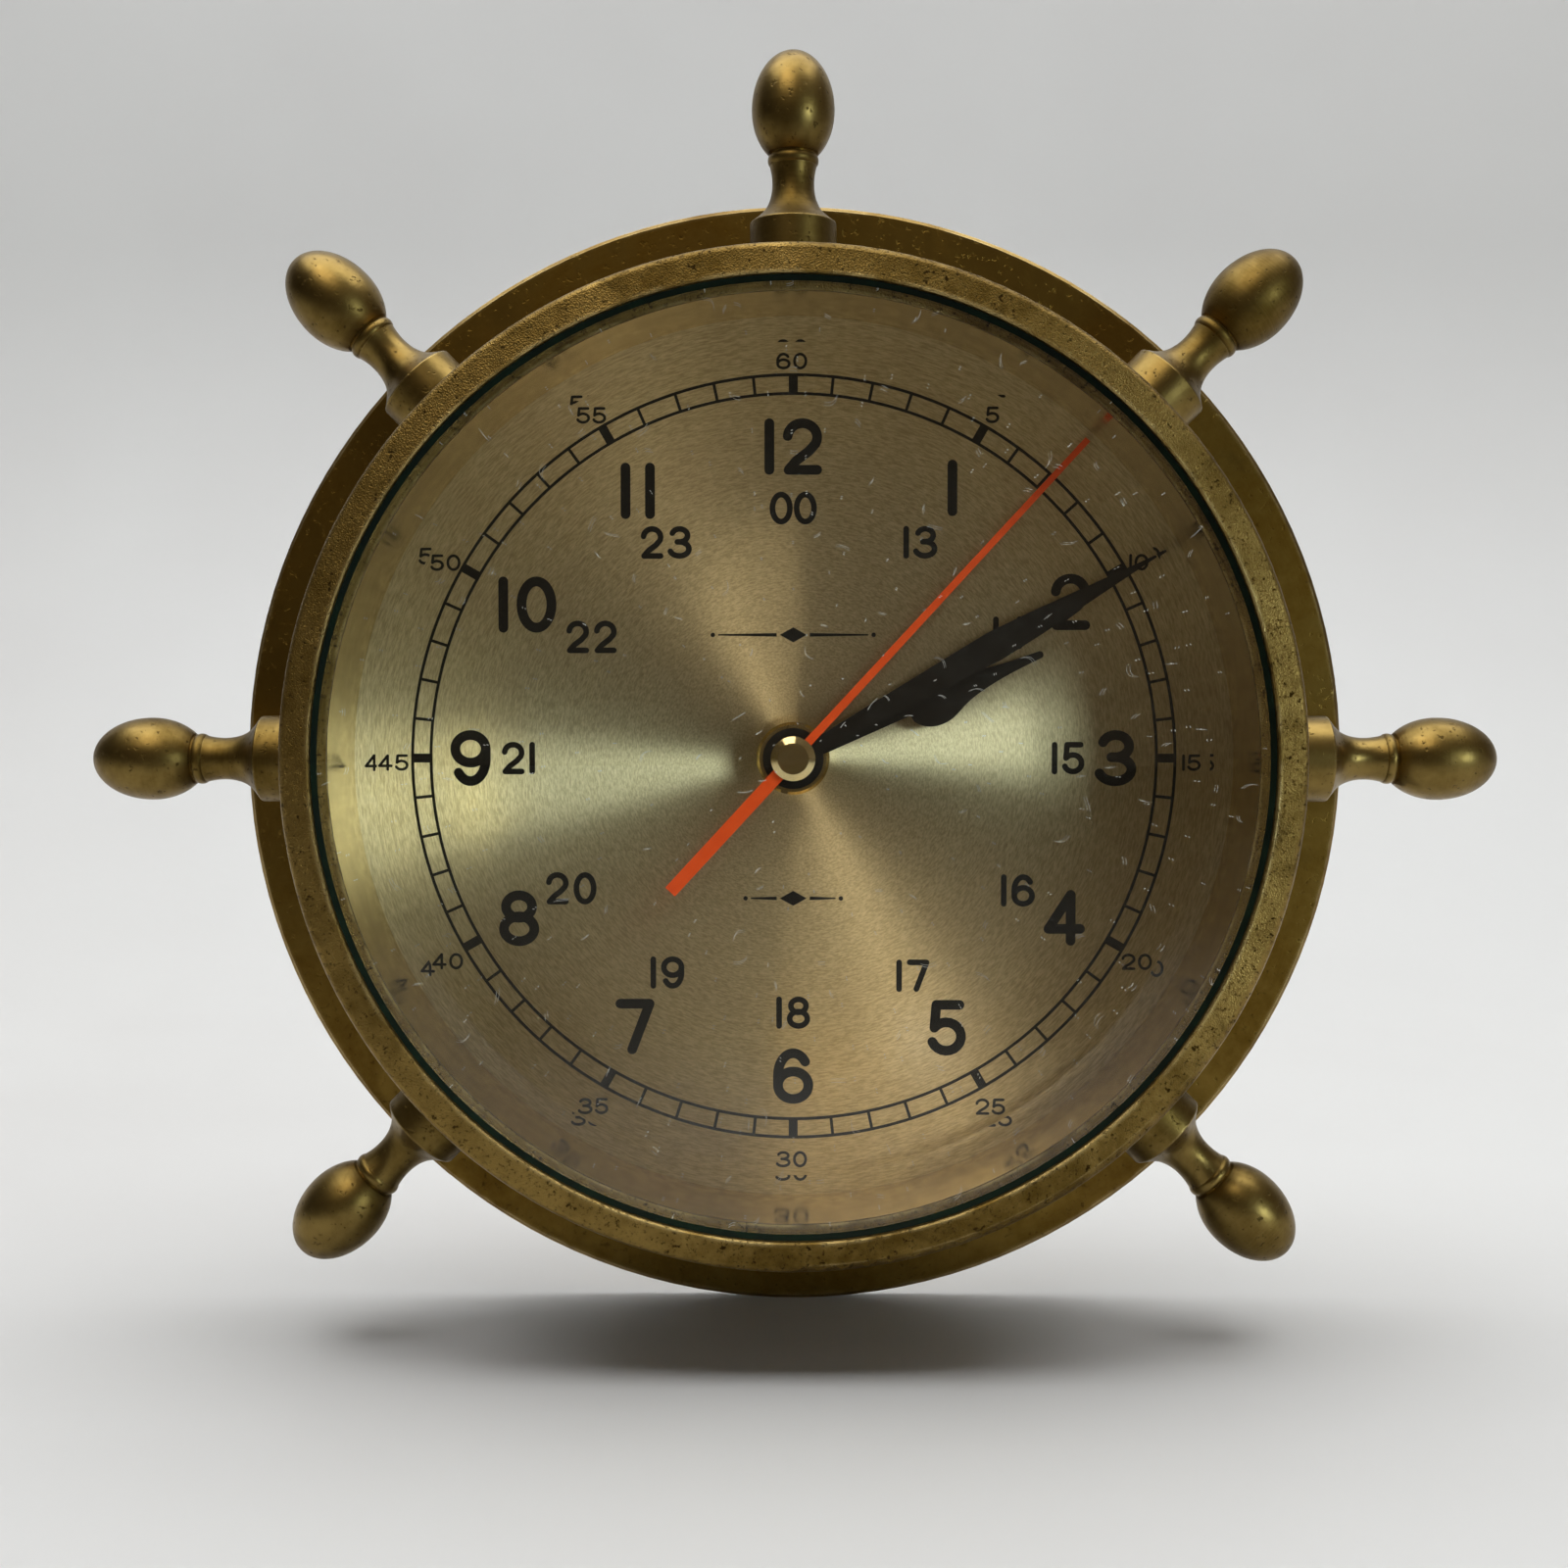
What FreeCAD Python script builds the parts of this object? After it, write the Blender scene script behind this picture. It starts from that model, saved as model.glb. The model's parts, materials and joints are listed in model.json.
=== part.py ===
import FreeCAD, Part
import math
import os

# Ship's-wheel wall clock with a battery quartz movement.
#
# Every piece is drawn in a bench frame: the clock lies on its back, +Z comes out of the
# dial, +Y points to 12 o'clock, and height 0 is the wall plane. save() then stands the
# clock up, so that the dial faces -Y, 12 o'clock is +Z and the wall plane is y = 0.
# Heights below are distances in front of the wall plane. All sizes are in millimetres.

os.makedirs("parts", exist_ok=True)

# ---- driving dimensions: case ----
FLANGE_R = 114.4
FLANGE_T = 4.0
ACCESS_R = 60.0
DRUM_R = 91.5
DRUM_BORE_R = 86.2
DRUM_SHOULDER_H = 44.3
SPIGOT_R = 89.7
SPIGOT_TOP = 51.6
DIAL_BACK = 19.0
DIAL_FRONT = 20.0
DIAL_R = 85.95
DIAL_HOLE_R = 4.2
LEDGE_R = 83.8
LINER_R = 85.2
LINER_OUTER_R = 86.0
BEZEL_R = 93.4
BEZEL_BACK = 44.6
BEZEL_FACE = 58.45
BEZEL_BORE_R = 87.6
GLASS_SEAT = 53.0
GLASS_FRONT = 58.0
GLASS_EDGE = 56.45
GLASS_R = 86.5
BEVEL_R = 75.2
FACE_GAP = 0.05
THREAD_ROOM = 0.03
PRESS_ROOM = 0.01
TOUCH_GAP = 0.02
RUNNING = 0.05
OVER = 1.0

# ---- driving dimensions: hanging slot and rim screws ----
KEYHOLE_Y = 70.0
KEYHOLE_R = 5.0
SLOT_R = 2.5
SLOT_TOP_Y = 79.0
RIM_SCREWS = 6
RIM_SCREW_R = 1.5
RIM_SCREW_HEAD_R = 2.9
RIM_SCREW_LENGTH = 12.0
RIM_SCREW_CIRCLE_R = 88.85
RIM_SLOT_HALF = 0.35
RIM_SLOT_DEPTH = 0.6

# ---- driving dimensions: wheel handles ----
HANDLE_H = 29.0
HANDLE_ANGLES = {
    "handle_top": 90,
    "handle_upper_right": 45,
    "handle_right": 0,
    "handle_lower_right": -45,
    "handle_lower_left": -135,
    "handle_left": 180,
    "handle_upper_left": 135,
}
HANDLE_ROOT = 91.12
SPOT_FACE = 91.1
SPOT_FACE_R = 8.7
COLLAR_R = 8.4
COLLAR_END = 103.7
COLLAR_EDGE = 0.3
NECK_R = 4.08
BEAD_R = 4.95
EGG_START = 117.4
EGG_WIDEST = 125.7
EGG_R = 8.05
TIP = 137.2
STUD_R = 2.5
STUD_START = 86.6
STUD_END = 101.0

# ---- driving dimensions: movement ----
HALF_CASE = 28.0
WALL = 1.2
CASE_BACK = 2.8
CASE_SPLIT = 10.15
CASE_FRONT = 18.4
INNER = HALF_CASE - WALL
BACK_INSIDE = CASE_BACK + WALL
FRONT_INSIDE = CASE_FRONT - WALL
CORNER_R = 3.0
BATTERY_R = 7.0
BATTERY_Y = -19.6
BATTERY_H = 10.1
BATTERY_X = 25.3
BAY_WALL_Y = -12.4
BRIDGE_BACK = 13.35
BRIDGE_FRONT = 13.85
BUSH_R = 4.0
BUSH_BORE_R = 2.6
BUSH_BACK = 16.4
BUSH_FLANGE_R = 6.0
BUSH_TOP = 23.0
NUT_R = 7.25
NUT_TOP = 22.3
SMALL_SCREW_R = 0.5
SMALL_SCREW_HEAD_R = 1.0
SMALL_SLOT_HALF = 0.15
SMALL_SLOT_DEPTH = 0.3
BRIDGE_SCREW_END = 16.4
PILLARS = [(-13.0, -7.0), (13.0, -7.0), (14.5, 15.0)]
PILLAR_R = 1.5
MOTION_POST_R = 0.6
SETTING_PIVOT_R = 0.5

# ---- driving dimensions: electrical pieces ----
BOARD_H = (4.25, 5.05)
BOARD_TOP_Y = 26.0
BOARD_X = -19.5
BOARD_SCREWS = [(BOARD_X, -5.0), (BOARD_X, 22.5)]
STATOR_H = (8.6, 9.4)
STATOR_LOW_Y = 0.7
STATOR_HIGH_Y = 9.8
STATOR_LEG_Y = 24.0
STATOR_BORE_R = 3.5
COIL_Y = 22.5
COIL_H = 9.9
COIL_X = (10.2, 21.8)
STATOR_POSTS = [(7.4, COIL_Y), (24.8, COIL_Y)]
STATOR_SCREW_END = 6.0
BOARD_SCREW_END = 3.4
STRIP_OUT = 26.65
STRIP_IN = 26.35
STRIP_H = (5.1, 7.6)

# ---- driving dimensions: gear train ----
MODULE = 0.30
MOTION_MODULE = 0.28
TRAIN_DISTANCE = MODULE * (8 + 64) / 2
THIRD_MODULE = TRAIN_DISTANCE * 2 / (8 + 60)
MOTION_DISTANCE = MOTION_MODULE * (16 + 48) / 2
HOUR_MODULE = MOTION_DISTANCE * 2 / (12 + 48)
SETTING_DISTANCE = MOTION_MODULE * (12 + 48) / 2
INTERMEDIATE_DISTANCE = MODULE * (10 + 60) / 2
ROTOR_DISTANCE = MODULE * (10 + 50) / 2
THIRD_ANGLE = math.radians(160)
INTERMEDIATE_ANGLE = math.radians(40)
ROTOR_ANGLE = math.radians(-10)
MOTION_ANGLE = math.radians(100)
ARBOR_R = 0.35
SECONDS_ARBOR_R = 0.5
MINUTE_TUBE_R = 1.75
HOUR_TUBE_R = 2.55
SETTING_ARBOR_R = 0.8
PIVOT_END = 3.4

# Tooth proportions: heights in modules, widths as shares of the width at the pitch circle.
ADDENDUM = 0.78
DEDENDUM = 1.15
TIP_SHARE = 0.42
ROOT_SHARE = 1.25
TOOTH_SHARE = 0.74

# ---- driving dimensions: heights of the train ----
WHEEL_T = 0.6
ROTOR_PINION_H = (5.4, 6.9)
ROTOR_MAGNET_H = (7.2, 10.6)
ROTOR_MAGNET_R = 3.0
INTERMEDIATE_LOW = 5.8
INTERMEDIATE_TOP = 12.0
SECONDS_PINION_LOW = 9.2
SECONDS_WHEEL_LOW = 11.0
SECONDS_ARBOR_TOP = 29.6
THIRD_LOW = 9.7
THIRD_TOP = 13.2
CENTRE_HUB_LOW = 12.3
CENTRE_LOW = 12.5
CENTRE_HUB_R = 2.6
CLUTCH_R = 2.9
CLUTCH_H = (13.13, 13.3)
MINUTE_TUBE_H = (12.2, 27.1)
CANNON_H = (13.95, 14.95)
MOTION_LOW = 14.1
MOTION_TOP = 16.4
HOUR_LOW = 15.6
HOUR_TUBE_H = (15.3, 24.2)
SETTING_ARBOR_H = (0.9, 15.0)
SETTING_PINION_H = (13.95, 14.9)
SETTING_KNOB_H = (0.4, 2.5)
SETTING_KNOB_R = 6.2
FLUTES = 24

# ---- driving dimensions: hands, with their angles clockwise from 12 ----
HOUR_ANGLE = 67.2
MINUTE_ANGLE = 60.85
SECOND_ANGLE = 42.7
HOUR_HAND_H = 23.5
MINUTE_HAND_H = 25.6
SECOND_HAND_H = 27.6
HAND_T = 0.5
SECOND_HAND_T = 0.35
HOUR_BOSS_R = 5.9
HOUR_LEAF_START = 24.9
HOUR_LEAF_END = 53.0
HOUR_TIP = 53.5
MINUTE_BOSS_R = 6.0
MINUTE_TIP = 81.5
SECOND_BOSS_R = 3.4
SECOND_TIP = 82.5
SECOND_TAIL = 35.6
MINUTE_NUT_R = 2.7
MINUTE_NUT_TOP = 27.0
CAP_R = 4.35
CAP_FLAT_R = 3.05
CAP_CHAMFER = 0.75
CAP_TOP = 30.4

Z = FreeCAD.Vector(0, 0, 1)
ORIGIN = FreeCAD.Vector(0, 0, 0)


# ---- helpers ----
def save(node, shape):
    """Stand a bench-frame shape up in the row frame and write its STEP."""
    stood = shape.copy()
    stood.rotate(ORIGIN, FreeCAD.Vector(1, 0, 0), 90)
    stood.exportStep("parts/" + node + ".step")


def polar(radius, angle):
    return (radius * math.cos(angle), radius * math.sin(angle))


def disc(radius, low, high, at=(0, 0)):
    return Part.makeCylinder(radius, high - low, FreeCAD.Vector(at[0], at[1], low), Z)


def ring(outer, inner, low, high, at=(0, 0)):
    return disc(outer, low, high, at).cut(disc(inner, low - OVER, high + OVER, at))


def cone(low_r, high_r, low, high, at):
    return Part.makeCone(low_r, high_r, high - low, FreeCAD.Vector(at[0], at[1], low), Z)


def block(x, y, h):
    """A box from three (low, high) pairs."""
    corner = FreeCAD.Vector(x[0], y[0], h[0])
    return Part.makeBox(x[1] - x[0], y[1] - y[0], h[1] - h[0], corner)


def rod_x(radius, x, y, height):
    """A cylinder along X, from x[0] to x[1]."""
    start = FreeCAD.Vector(x[0], y, height)
    return Part.makeCylinder(radius, x[1] - x[0], start, FreeCAD.Vector(1, 0, 0))


def line(a, b):
    return Part.LineSegment(FreeCAD.Vector(*a), FreeCAD.Vector(*b)).toShape()


def profile(points):
    """(radius, height) points as vectors in the XZ plane."""
    return [FreeCAD.Vector(r, 0, h) for r, h in points]


def revolved(edges):
    """A solid of revolution about Z from a closed loop of edges in the XZ plane."""
    face = Part.Face(Part.Wire(edges))
    return face.revolve(ORIGIN, Z, 360)


def turned(points):
    """A solid of revolution about Z from a closed (radius, height) polygon."""
    loop = profile(points + points[:1])
    return revolved(Part.makePolygon(loop).Edges)


def plate(points, low, high):
    """A flat plate from a closed (x, y) polygon."""
    loop = [FreeCAD.Vector(x, y, low) for x, y in points + points[:1]]
    return Part.Face(Part.makePolygon(loop)).extrude(Z * (high - low))


def rounded_square(half, corner, low, high):
    box = block((-half, half), (-half, half), (low, high))
    upright = [e for e in box.Edges if e.BoundBox.ZLength > (high - low) / 2]
    return box.makeFillet(corner, upright)


def driver_slot(at, head_r, half_width, heights):
    """The cutter for a screwdriver slot right across a head."""
    x = (at[0] - head_r, at[0] + head_r)
    y = (at[1] - half_width, at[1] + half_width)
    return block(x, y, heights)


def countersunk_screw(radius, head_r, low, high, at):
    """A slotted countersunk screw whose head lies at its low end."""
    head = cone(head_r, radius, low, low + head_r - radius, at)
    slot = driver_slot(at, head_r, RIM_SLOT_HALF, (low - OVER, low + RIM_SLOT_DEPTH))
    return head.fuse(disc(radius, low, high, at)).cut(slot)


def cheese_screw(head_h, tip_h, at):
    """A small slotted screw: the head spans head_h, the shank runs on to tip_h."""
    low, high = head_h
    head = disc(SMALL_SCREW_HEAD_R, low, high, at)
    shank = disc(SMALL_SCREW_R, min(tip_h, low), max(tip_h, high), at)
    outside = high if tip_h < low else low
    slot_h = (outside - SMALL_SLOT_DEPTH, outside + SMALL_SLOT_DEPTH)
    return head.fuse(shank).cut(driver_slot(at, SMALL_SCREW_HEAD_R, SMALL_SLOT_HALF, slot_h))


def gear_blank(teeth, module, low, high, phase=0.0, at=(0, 0)):
    """A spur gear with flat-flanked teeth, one tooth centred on the angle phase."""
    pitch_r = module * teeth / 2
    half = math.pi / (2 * teeth) * TOOTH_SHARE * pitch_r
    root = (pitch_r - DEDENDUM * module, half * ROOT_SHARE)
    middle = (pitch_r, half)
    tip = (pitch_r + ADDENDUM * module, half * TIP_SHARE)
    points = []
    for tooth in range(teeth):
        centre = phase + 2 * math.pi * tooth / teeth
        flank_up = [(r, centre - w / r) for r, w in (root, middle, tip)]
        flank_down = [(r, centre + w / r) for r, w in (tip, middle, root)]
        for radius, angle in flank_up + flank_down:
            x, y = polar(radius, angle)
            points.append((x + at[0], y + at[1]))
    return plate(points, low, high)


def mesh_phase(direction, phase, teeth, mate_teeth):
    """The phase that puts a mate in mesh with a gear, the mate's centre lying at direction."""
    pitch = 2 * math.pi / teeth
    mate_pitch = 2 * math.pi / mate_teeth
    return direction + math.pi - mate_pitch * (0.5 - (direction - phase) / pitch)


def along(start, distance, angle):
    dx, dy = polar(distance, angle)
    return (start[0] + dx, start[1] + dy)


CENTRE = (0.0, 0.0)
THIRD = along(CENTRE, TRAIN_DISTANCE, THIRD_ANGLE)
INTERMEDIATE = along(CENTRE, INTERMEDIATE_DISTANCE, INTERMEDIATE_ANGLE)
ROTOR = along(INTERMEDIATE, ROTOR_DISTANCE, ROTOR_ANGLE)
MOTION = along(CENTRE, MOTION_DISTANCE, MOTION_ANGLE)
SETTING = along(MOTION, SETTING_DISTANCE, MOTION_ANGLE)


# ---- case ----
def screw_circle():
    """The rim screws' places, the first one half a step round from 3 o'clock."""
    step = 2 * math.pi / RIM_SCREWS
    return [polar(RIM_SCREW_CIRCLE_R, step * (k + 0.5)) for k in range(RIM_SCREWS)]


def back_flange():
    edge = 0.8
    back_edge = 0.3
    body = turned([
        (ACCESS_R + back_edge, 0), (FLANGE_R - back_edge, 0), (FLANGE_R, back_edge),
        (FLANGE_R, FLANGE_T - edge), (FLANGE_R - edge, FLANGE_T), (ACCESS_R + back_edge, FLANGE_T),
        (ACCESS_R, FLANGE_T - back_edge), (ACCESS_R, back_edge),
    ])
    through = (-OVER, FLANGE_T + OVER)
    body = body.cut(disc(KEYHOLE_R, *through, at=(0, KEYHOLE_Y)))
    body = body.cut(block((-SLOT_R, SLOT_R), (KEYHOLE_Y, SLOT_TOP_Y), through))
    body = body.cut(disc(SLOT_R, *through, at=(0, SLOT_TOP_Y)))
    hole_r = RIM_SCREW_R + THREAD_ROOM
    for at in screw_circle():
        body = body.cut(disc(hole_r, *through, at=at))
        body = body.cut(cone(RIM_SCREW_HEAD_R + THREAD_ROOM, hole_r, 0, RIM_SCREW_HEAD_R - RIM_SCREW_R, at))
    return body


def flange_screws():
    head_r = RIM_SCREW_HEAD_R - TOUCH_GAP
    return Part.Compound([
        countersunk_screw(RIM_SCREW_R, head_r, TOUCH_GAP, RIM_SCREW_LENGTH, at) for at in screw_circle()
    ])


def radial_cylinder(radius, start, end, angle):
    """A cylinder along a handle's axis, between two distances from the clock's axis."""
    direction = FreeCAD.Vector(*polar(1, math.radians(angle)), 0)
    base = direction * start + FreeCAD.Vector(0, 0, HANDLE_H)
    return Part.makeCylinder(radius, end - start, base, direction)


def case_drum():
    back = FLANGE_T + FACE_GAP
    thread_edge = 0.3
    ledge_top = DIAL_BACK - FACE_GAP
    ledge_root = 14.8
    ledge_lip = ledge_root + 1.6
    body = turned([
        (DRUM_BORE_R, back), (DRUM_R, back), (DRUM_R, DRUM_SHOULDER_H), (SPIGOT_R, DRUM_SHOULDER_H),
        (SPIGOT_R, SPIGOT_TOP - thread_edge), (SPIGOT_R - thread_edge, SPIGOT_TOP),
        (DRUM_BORE_R, SPIGOT_TOP), (DRUM_BORE_R, ledge_top), (LEDGE_R, ledge_top),
        (LEDGE_R, ledge_lip), (DRUM_BORE_R, ledge_root),
    ])
    for angle in HANDLE_ANGLES.values():
        body = body.cut(radial_cylinder(SPOT_FACE_R, SPOT_FACE, DRUM_R + OVER, angle))
        body = body.cut(radial_cylinder(STUD_R + THREAD_ROOM, LEDGE_R, DRUM_R, angle))
    for at in screw_circle():
        body = body.cut(disc(RIM_SCREW_R + THREAD_ROOM, back - OVER, RIM_SCREW_LENGTH + OVER, at))
    return body


def rehaut_ring():
    """The polished liner between the dial and the bezel's lip."""
    return ring(LINER_OUTER_R, LINER_R, DIAL_FRONT + FACE_GAP, SPIGOT_TOP)


def bezel():
    lip_back = SPIGOT_TOP + FACE_GAP
    seat = GLASS_SEAT - FACE_GAP
    rim_r = 1.5
    face_drop = 0.45
    bore_edge = 0.3
    foot_edge = 0.4
    thread_r = SPIGOT_R + FACE_GAP
    rim_top = BEZEL_FACE - face_drop
    corner = 1 - math.sqrt(0.5)
    face_start = (BEZEL_BORE_R + bore_edge, BEZEL_FACE)
    rim_start = (BEZEL_R - rim_r, rim_top)
    rim_middle = (BEZEL_R - rim_r * corner, rim_top - rim_r * corner)
    rim_end = (BEZEL_R, rim_top - rim_r)
    outline = [
        rim_end, (BEZEL_R, BEZEL_BACK + foot_edge), (BEZEL_R - foot_edge, BEZEL_BACK),
        (thread_r, BEZEL_BACK), (thread_r, lip_back), (LINER_R, lip_back), (LINER_R, seat),
        (BEZEL_BORE_R, seat), (BEZEL_BORE_R, BEZEL_FACE - bore_edge), face_start, rim_start,
    ]
    edges = Part.makePolygon(profile(outline)).Edges
    edges.append(Part.Arc(*profile([rim_start, rim_middle, rim_end])).toShape())
    return revolved(edges)


def glass():
    """Flat glass whose front is ground to a wide bevel, down to a thinner edge."""
    return turned([
        (0, GLASS_SEAT), (GLASS_R, GLASS_SEAT), (GLASS_R, GLASS_EDGE), (BEVEL_R, GLASS_FRONT),
        (0, GLASS_FRONT),
    ])


def glass_sealant():
    """The sealing compound between the glass edge and the bezel's bore, higher at the brass."""
    inner = GLASS_R + FACE_GAP
    outer = BEZEL_BORE_R - FACE_GAP
    at_glass = GLASS_EDGE - 0.2
    at_brass = GLASS_EDGE + 0.5
    return turned([(inner, GLASS_SEAT), (outer, GLASS_SEAT), (outer, at_brass), (inner, at_glass)])


def dial_plate():
    return ring(DIAL_R, DIAL_HOLE_R, DIAL_BACK, DIAL_FRONT)


# ---- handles ----
def egg_arc(reach, start):
    """Part of an ellipse out to the egg's widest place, from an angle off its long axis."""
    centre = FreeCAD.Vector(0, 0, EGG_WIDEST)
    ellipse = Part.Ellipse(centre + Z * reach, FreeCAD.Vector(EGG_R, 0, EGG_WIDEST), centre)
    return Part.ArcOfEllipse(ellipse, start, math.pi / 2).toShape()


def handle():
    """A turned handle along Z: collar, flare, neck, bead and egg-shaped grip."""
    flare_start = (COLLAR_R - 0.1, COLLAR_END + 0.2)
    neck_end = (4.55, 115.0)
    flare = [flare_start, (6.9, 105.0), (5.6, 106.3), (4.6, 108.2), (NECK_R, 111.1), neck_end]
    bead = [neck_end, (BEAD_R, 116.0), (4.5, 117.1)]
    lower_reach = 10.6
    lower_turn = math.acos((EGG_WIDEST - EGG_START) / lower_reach)
    egg_start = (EGG_R * math.sin(lower_turn), EGG_START)
    collar = [
        (0, TIP), (0, HANDLE_ROOT), (COLLAR_R - COLLAR_EDGE, HANDLE_ROOT),
        (COLLAR_R, HANDLE_ROOT + COLLAR_EDGE), (COLLAR_R, COLLAR_END), flare_start,
    ]
    flare_curve = Part.BSplineCurve()
    flare_curve.interpolate(profile(flare))
    edges = Part.makePolygon(profile(collar)).Edges
    edges.append(flare_curve.toShape())
    edges.append(Part.Arc(*profile(bead)).toShape())
    edges.extend(Part.makePolygon(profile([bead[-1], egg_start])).Edges)
    edges.append(egg_arc(-lower_reach, lower_turn))
    edges.append(egg_arc(TIP - EGG_WIDEST, 0))
    stud_hole = disc(STUD_R + THREAD_ROOM, HANDLE_ROOT - OVER, STUD_END + 0.5)
    return revolved(edges).cut(stud_hole)


def placed_handle(shape, angle):
    """Lay a handle drawn along Z down along its own radius, at the handles' height."""
    laid = shape.copy()
    laid.rotate(ORIGIN, FreeCAD.Vector(0, 1, 0), 90)
    laid.rotate(ORIGIN, Z, angle)
    laid.translate(FreeCAD.Vector(0, 0, HANDLE_H))
    return laid


def handle_studs():
    angles = HANDLE_ANGLES.values()
    return Part.Compound([radial_cylinder(STUD_R, STUD_START, STUD_END, angle) for angle in angles])


# ---- movement housing ----
def bay_wall(low, high):
    """The wall between the battery bay and the train, notched for the contact strips."""
    notch = 25.9
    return block((-notch, notch), (BAY_WALL_Y, BAY_WALL_Y + WALL), (low, high))


def small_screw_hole(low, high, at, room=THREAD_ROOM):
    return disc(SMALL_SCREW_R + room, low, high, at)


def movement_front_case():
    low = CASE_SPLIT + FACE_GAP
    pivot_depth = 0.7
    body = rounded_square(HALF_CASE, CORNER_R, low, CASE_FRONT)
    body = body.cut(rounded_square(INNER, CORNER_R - WALL, low - OVER, FRONT_INSIDE))
    body = body.fuse(bay_wall(low, FRONT_INSIDE))
    for at in PILLARS:
        body = body.fuse(disc(PILLAR_R, BRIDGE_FRONT + TOUCH_GAP, FRONT_INSIDE, at))
        body = body.cut(small_screw_hole(BRIDGE_FRONT - OVER, BRIDGE_SCREW_END + 0.2, at))
    body = body.fuse(disc(MOTION_POST_R, BRIDGE_BACK + RUNNING, FRONT_INSIDE, MOTION))
    body = body.cut(disc(BUSH_R + TOUCH_GAP, FRONT_INSIDE - OVER, CASE_FRONT + OVER))
    pivot = disc(SETTING_PIVOT_R + RUNNING, FRONT_INSIDE - OVER, FRONT_INSIDE + pivot_depth, SETTING)
    return body.cut(pivot)


def movement_back_cover():
    """The back half: it is open under the battery and carries the motor and the circuit board."""
    post_r = 1.3
    boss_r = 1.6
    boss_top = BOARD_H[0] - FACE_GAP
    pivot_floor = PIVOT_END - 0.1
    body = rounded_square(HALF_CASE, CORNER_R, CASE_BACK, CASE_SPLIT)
    body = body.cut(rounded_square(INNER, CORNER_R - WALL, BACK_INSIDE, CASE_SPLIT + OVER))
    body = body.fuse(bay_wall(BACK_INSIDE, CASE_SPLIT))
    body = body.cut(block((-INNER, INNER), (-INNER, BAY_WALL_Y), (CASE_BACK - OVER, BACK_INSIDE + OVER)))
    for at in STATOR_POSTS:
        body = body.fuse(disc(post_r, BACK_INSIDE, STATOR_H[0] - FACE_GAP, at))
        body = body.cut(small_screw_hole(STATOR_SCREW_END - 0.5, STATOR_H[0], at))
    for at in BOARD_SCREWS:
        body = body.fuse(disc(boss_r, BACK_INSIDE, boss_top, at))
        body = body.cut(small_screw_hole(BOARD_SCREW_END - 0.2, BOARD_H[1], at))
    for at in (THIRD, INTERMEDIATE, ROTOR):
        body = body.cut(disc(ARBOR_R + RUNNING, pivot_floor, BACK_INSIDE + OVER, at))
    body = body.cut(disc(SECONDS_ARBOR_R + RUNNING, pivot_floor, BACK_INSIDE + OVER))
    return body.cut(disc(SETTING_ARBOR_R + RUNNING, CASE_BACK - OVER, BACK_INSIDE + OVER, SETTING))


def centre_bush():
    """The threaded bush that carries the hand tubes and clamps the dial."""
    flange = disc(BUSH_FLANGE_R, BUSH_BACK, FRONT_INSIDE - TOUCH_GAP)
    body = flange.fuse(disc(BUSH_R, BUSH_BACK, BUSH_TOP))
    return body.cut(disc(BUSH_BORE_R, BUSH_BACK - OVER, BUSH_TOP + OVER))


def dial_washer():
    outer = 9.0
    return ring(outer, BUSH_R + 0.1, CASE_FRONT + THREAD_ROOM, DIAL_BACK - THREAD_ROOM)


def fixing_nut():
    """A round nut with a chamfered rim and two spanner slots, at 15 and 195 degrees from 12."""
    low = DIAL_FRONT + TOUCH_GAP
    inner = BUSH_R + THREAD_ROOM
    chamfer = 0.6
    slot_half = 0.7
    slot_depth = 1.1
    slot_start = 5.4
    body = turned([
        (inner, low), (NUT_R, low), (NUT_R, NUT_TOP - chamfer), (NUT_R - chamfer, NUT_TOP),
        (inner, NUT_TOP),
    ])
    slot_h = (NUT_TOP - slot_depth, NUT_TOP + OVER)
    slot = block((slot_start, NUT_R + OVER), (-slot_half, slot_half), slot_h)
    for angle in (75, 255):
        cutter = slot.copy()
        cutter.rotate(ORIGIN, Z, angle)
        body = body.cut(cutter)
    return body


def train_bridge():
    """The middle plate that holds the front pivots of the train, cut away round the coil."""
    outline = [
        (-16, -9.5), (16, -9.5), (20.5, 0), (20.5, 9), (17.5, 18), (10, 18), (4, 12), (-16, 12),
    ]
    body = plate(outline, BRIDGE_BACK, BRIDGE_FRONT)
    through = (BRIDGE_BACK - OVER, BRIDGE_FRONT + OVER)
    body = body.cut(disc(MINUTE_TUBE_R + 0.25, *through))
    body = body.cut(disc(MOTION_POST_R + RUNNING, *through, at=MOTION))
    for at in (THIRD, INTERMEDIATE, ROTOR):
        body = body.cut(disc(ARBOR_R + RUNNING, *through, at=at))
    for at in PILLARS:
        body = body.cut(small_screw_hole(*through, at))
    return body


def bridge_screws():
    head_t = 0.63
    top = BRIDGE_BACK - TOUCH_GAP
    return Part.Compound([cheese_screw((top - head_t, top), BRIDGE_SCREW_END, at) for at in PILLARS])


# ---- electrical pieces ----
def circuit_board():
    """An L-shaped board: one arm beside the train, one under the coil."""
    low, high = BOARD_H
    arm = block((-BOARD_TOP_Y, -13), (-8, BOARD_TOP_Y), BOARD_H)
    body = arm.fuse(block((-BOARD_TOP_Y, BOARD_TOP_Y), (18.9, BOARD_TOP_Y), BOARD_H))
    for at in STATOR_POSTS:
        body = body.cut(disc(1.6, low - OVER, high + OVER, at))
    for at in BOARD_SCREWS:
        body = body.cut(small_screw_hole(low - OVER, high + OVER, at, RUNNING))
    return body


def board_screws():
    head_t = 0.7
    low = BOARD_H[1] + FACE_GAP
    return Part.Compound([cheese_screw((low, low + head_t), BOARD_SCREW_END, at) for at in BOARD_SCREWS])


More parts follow.
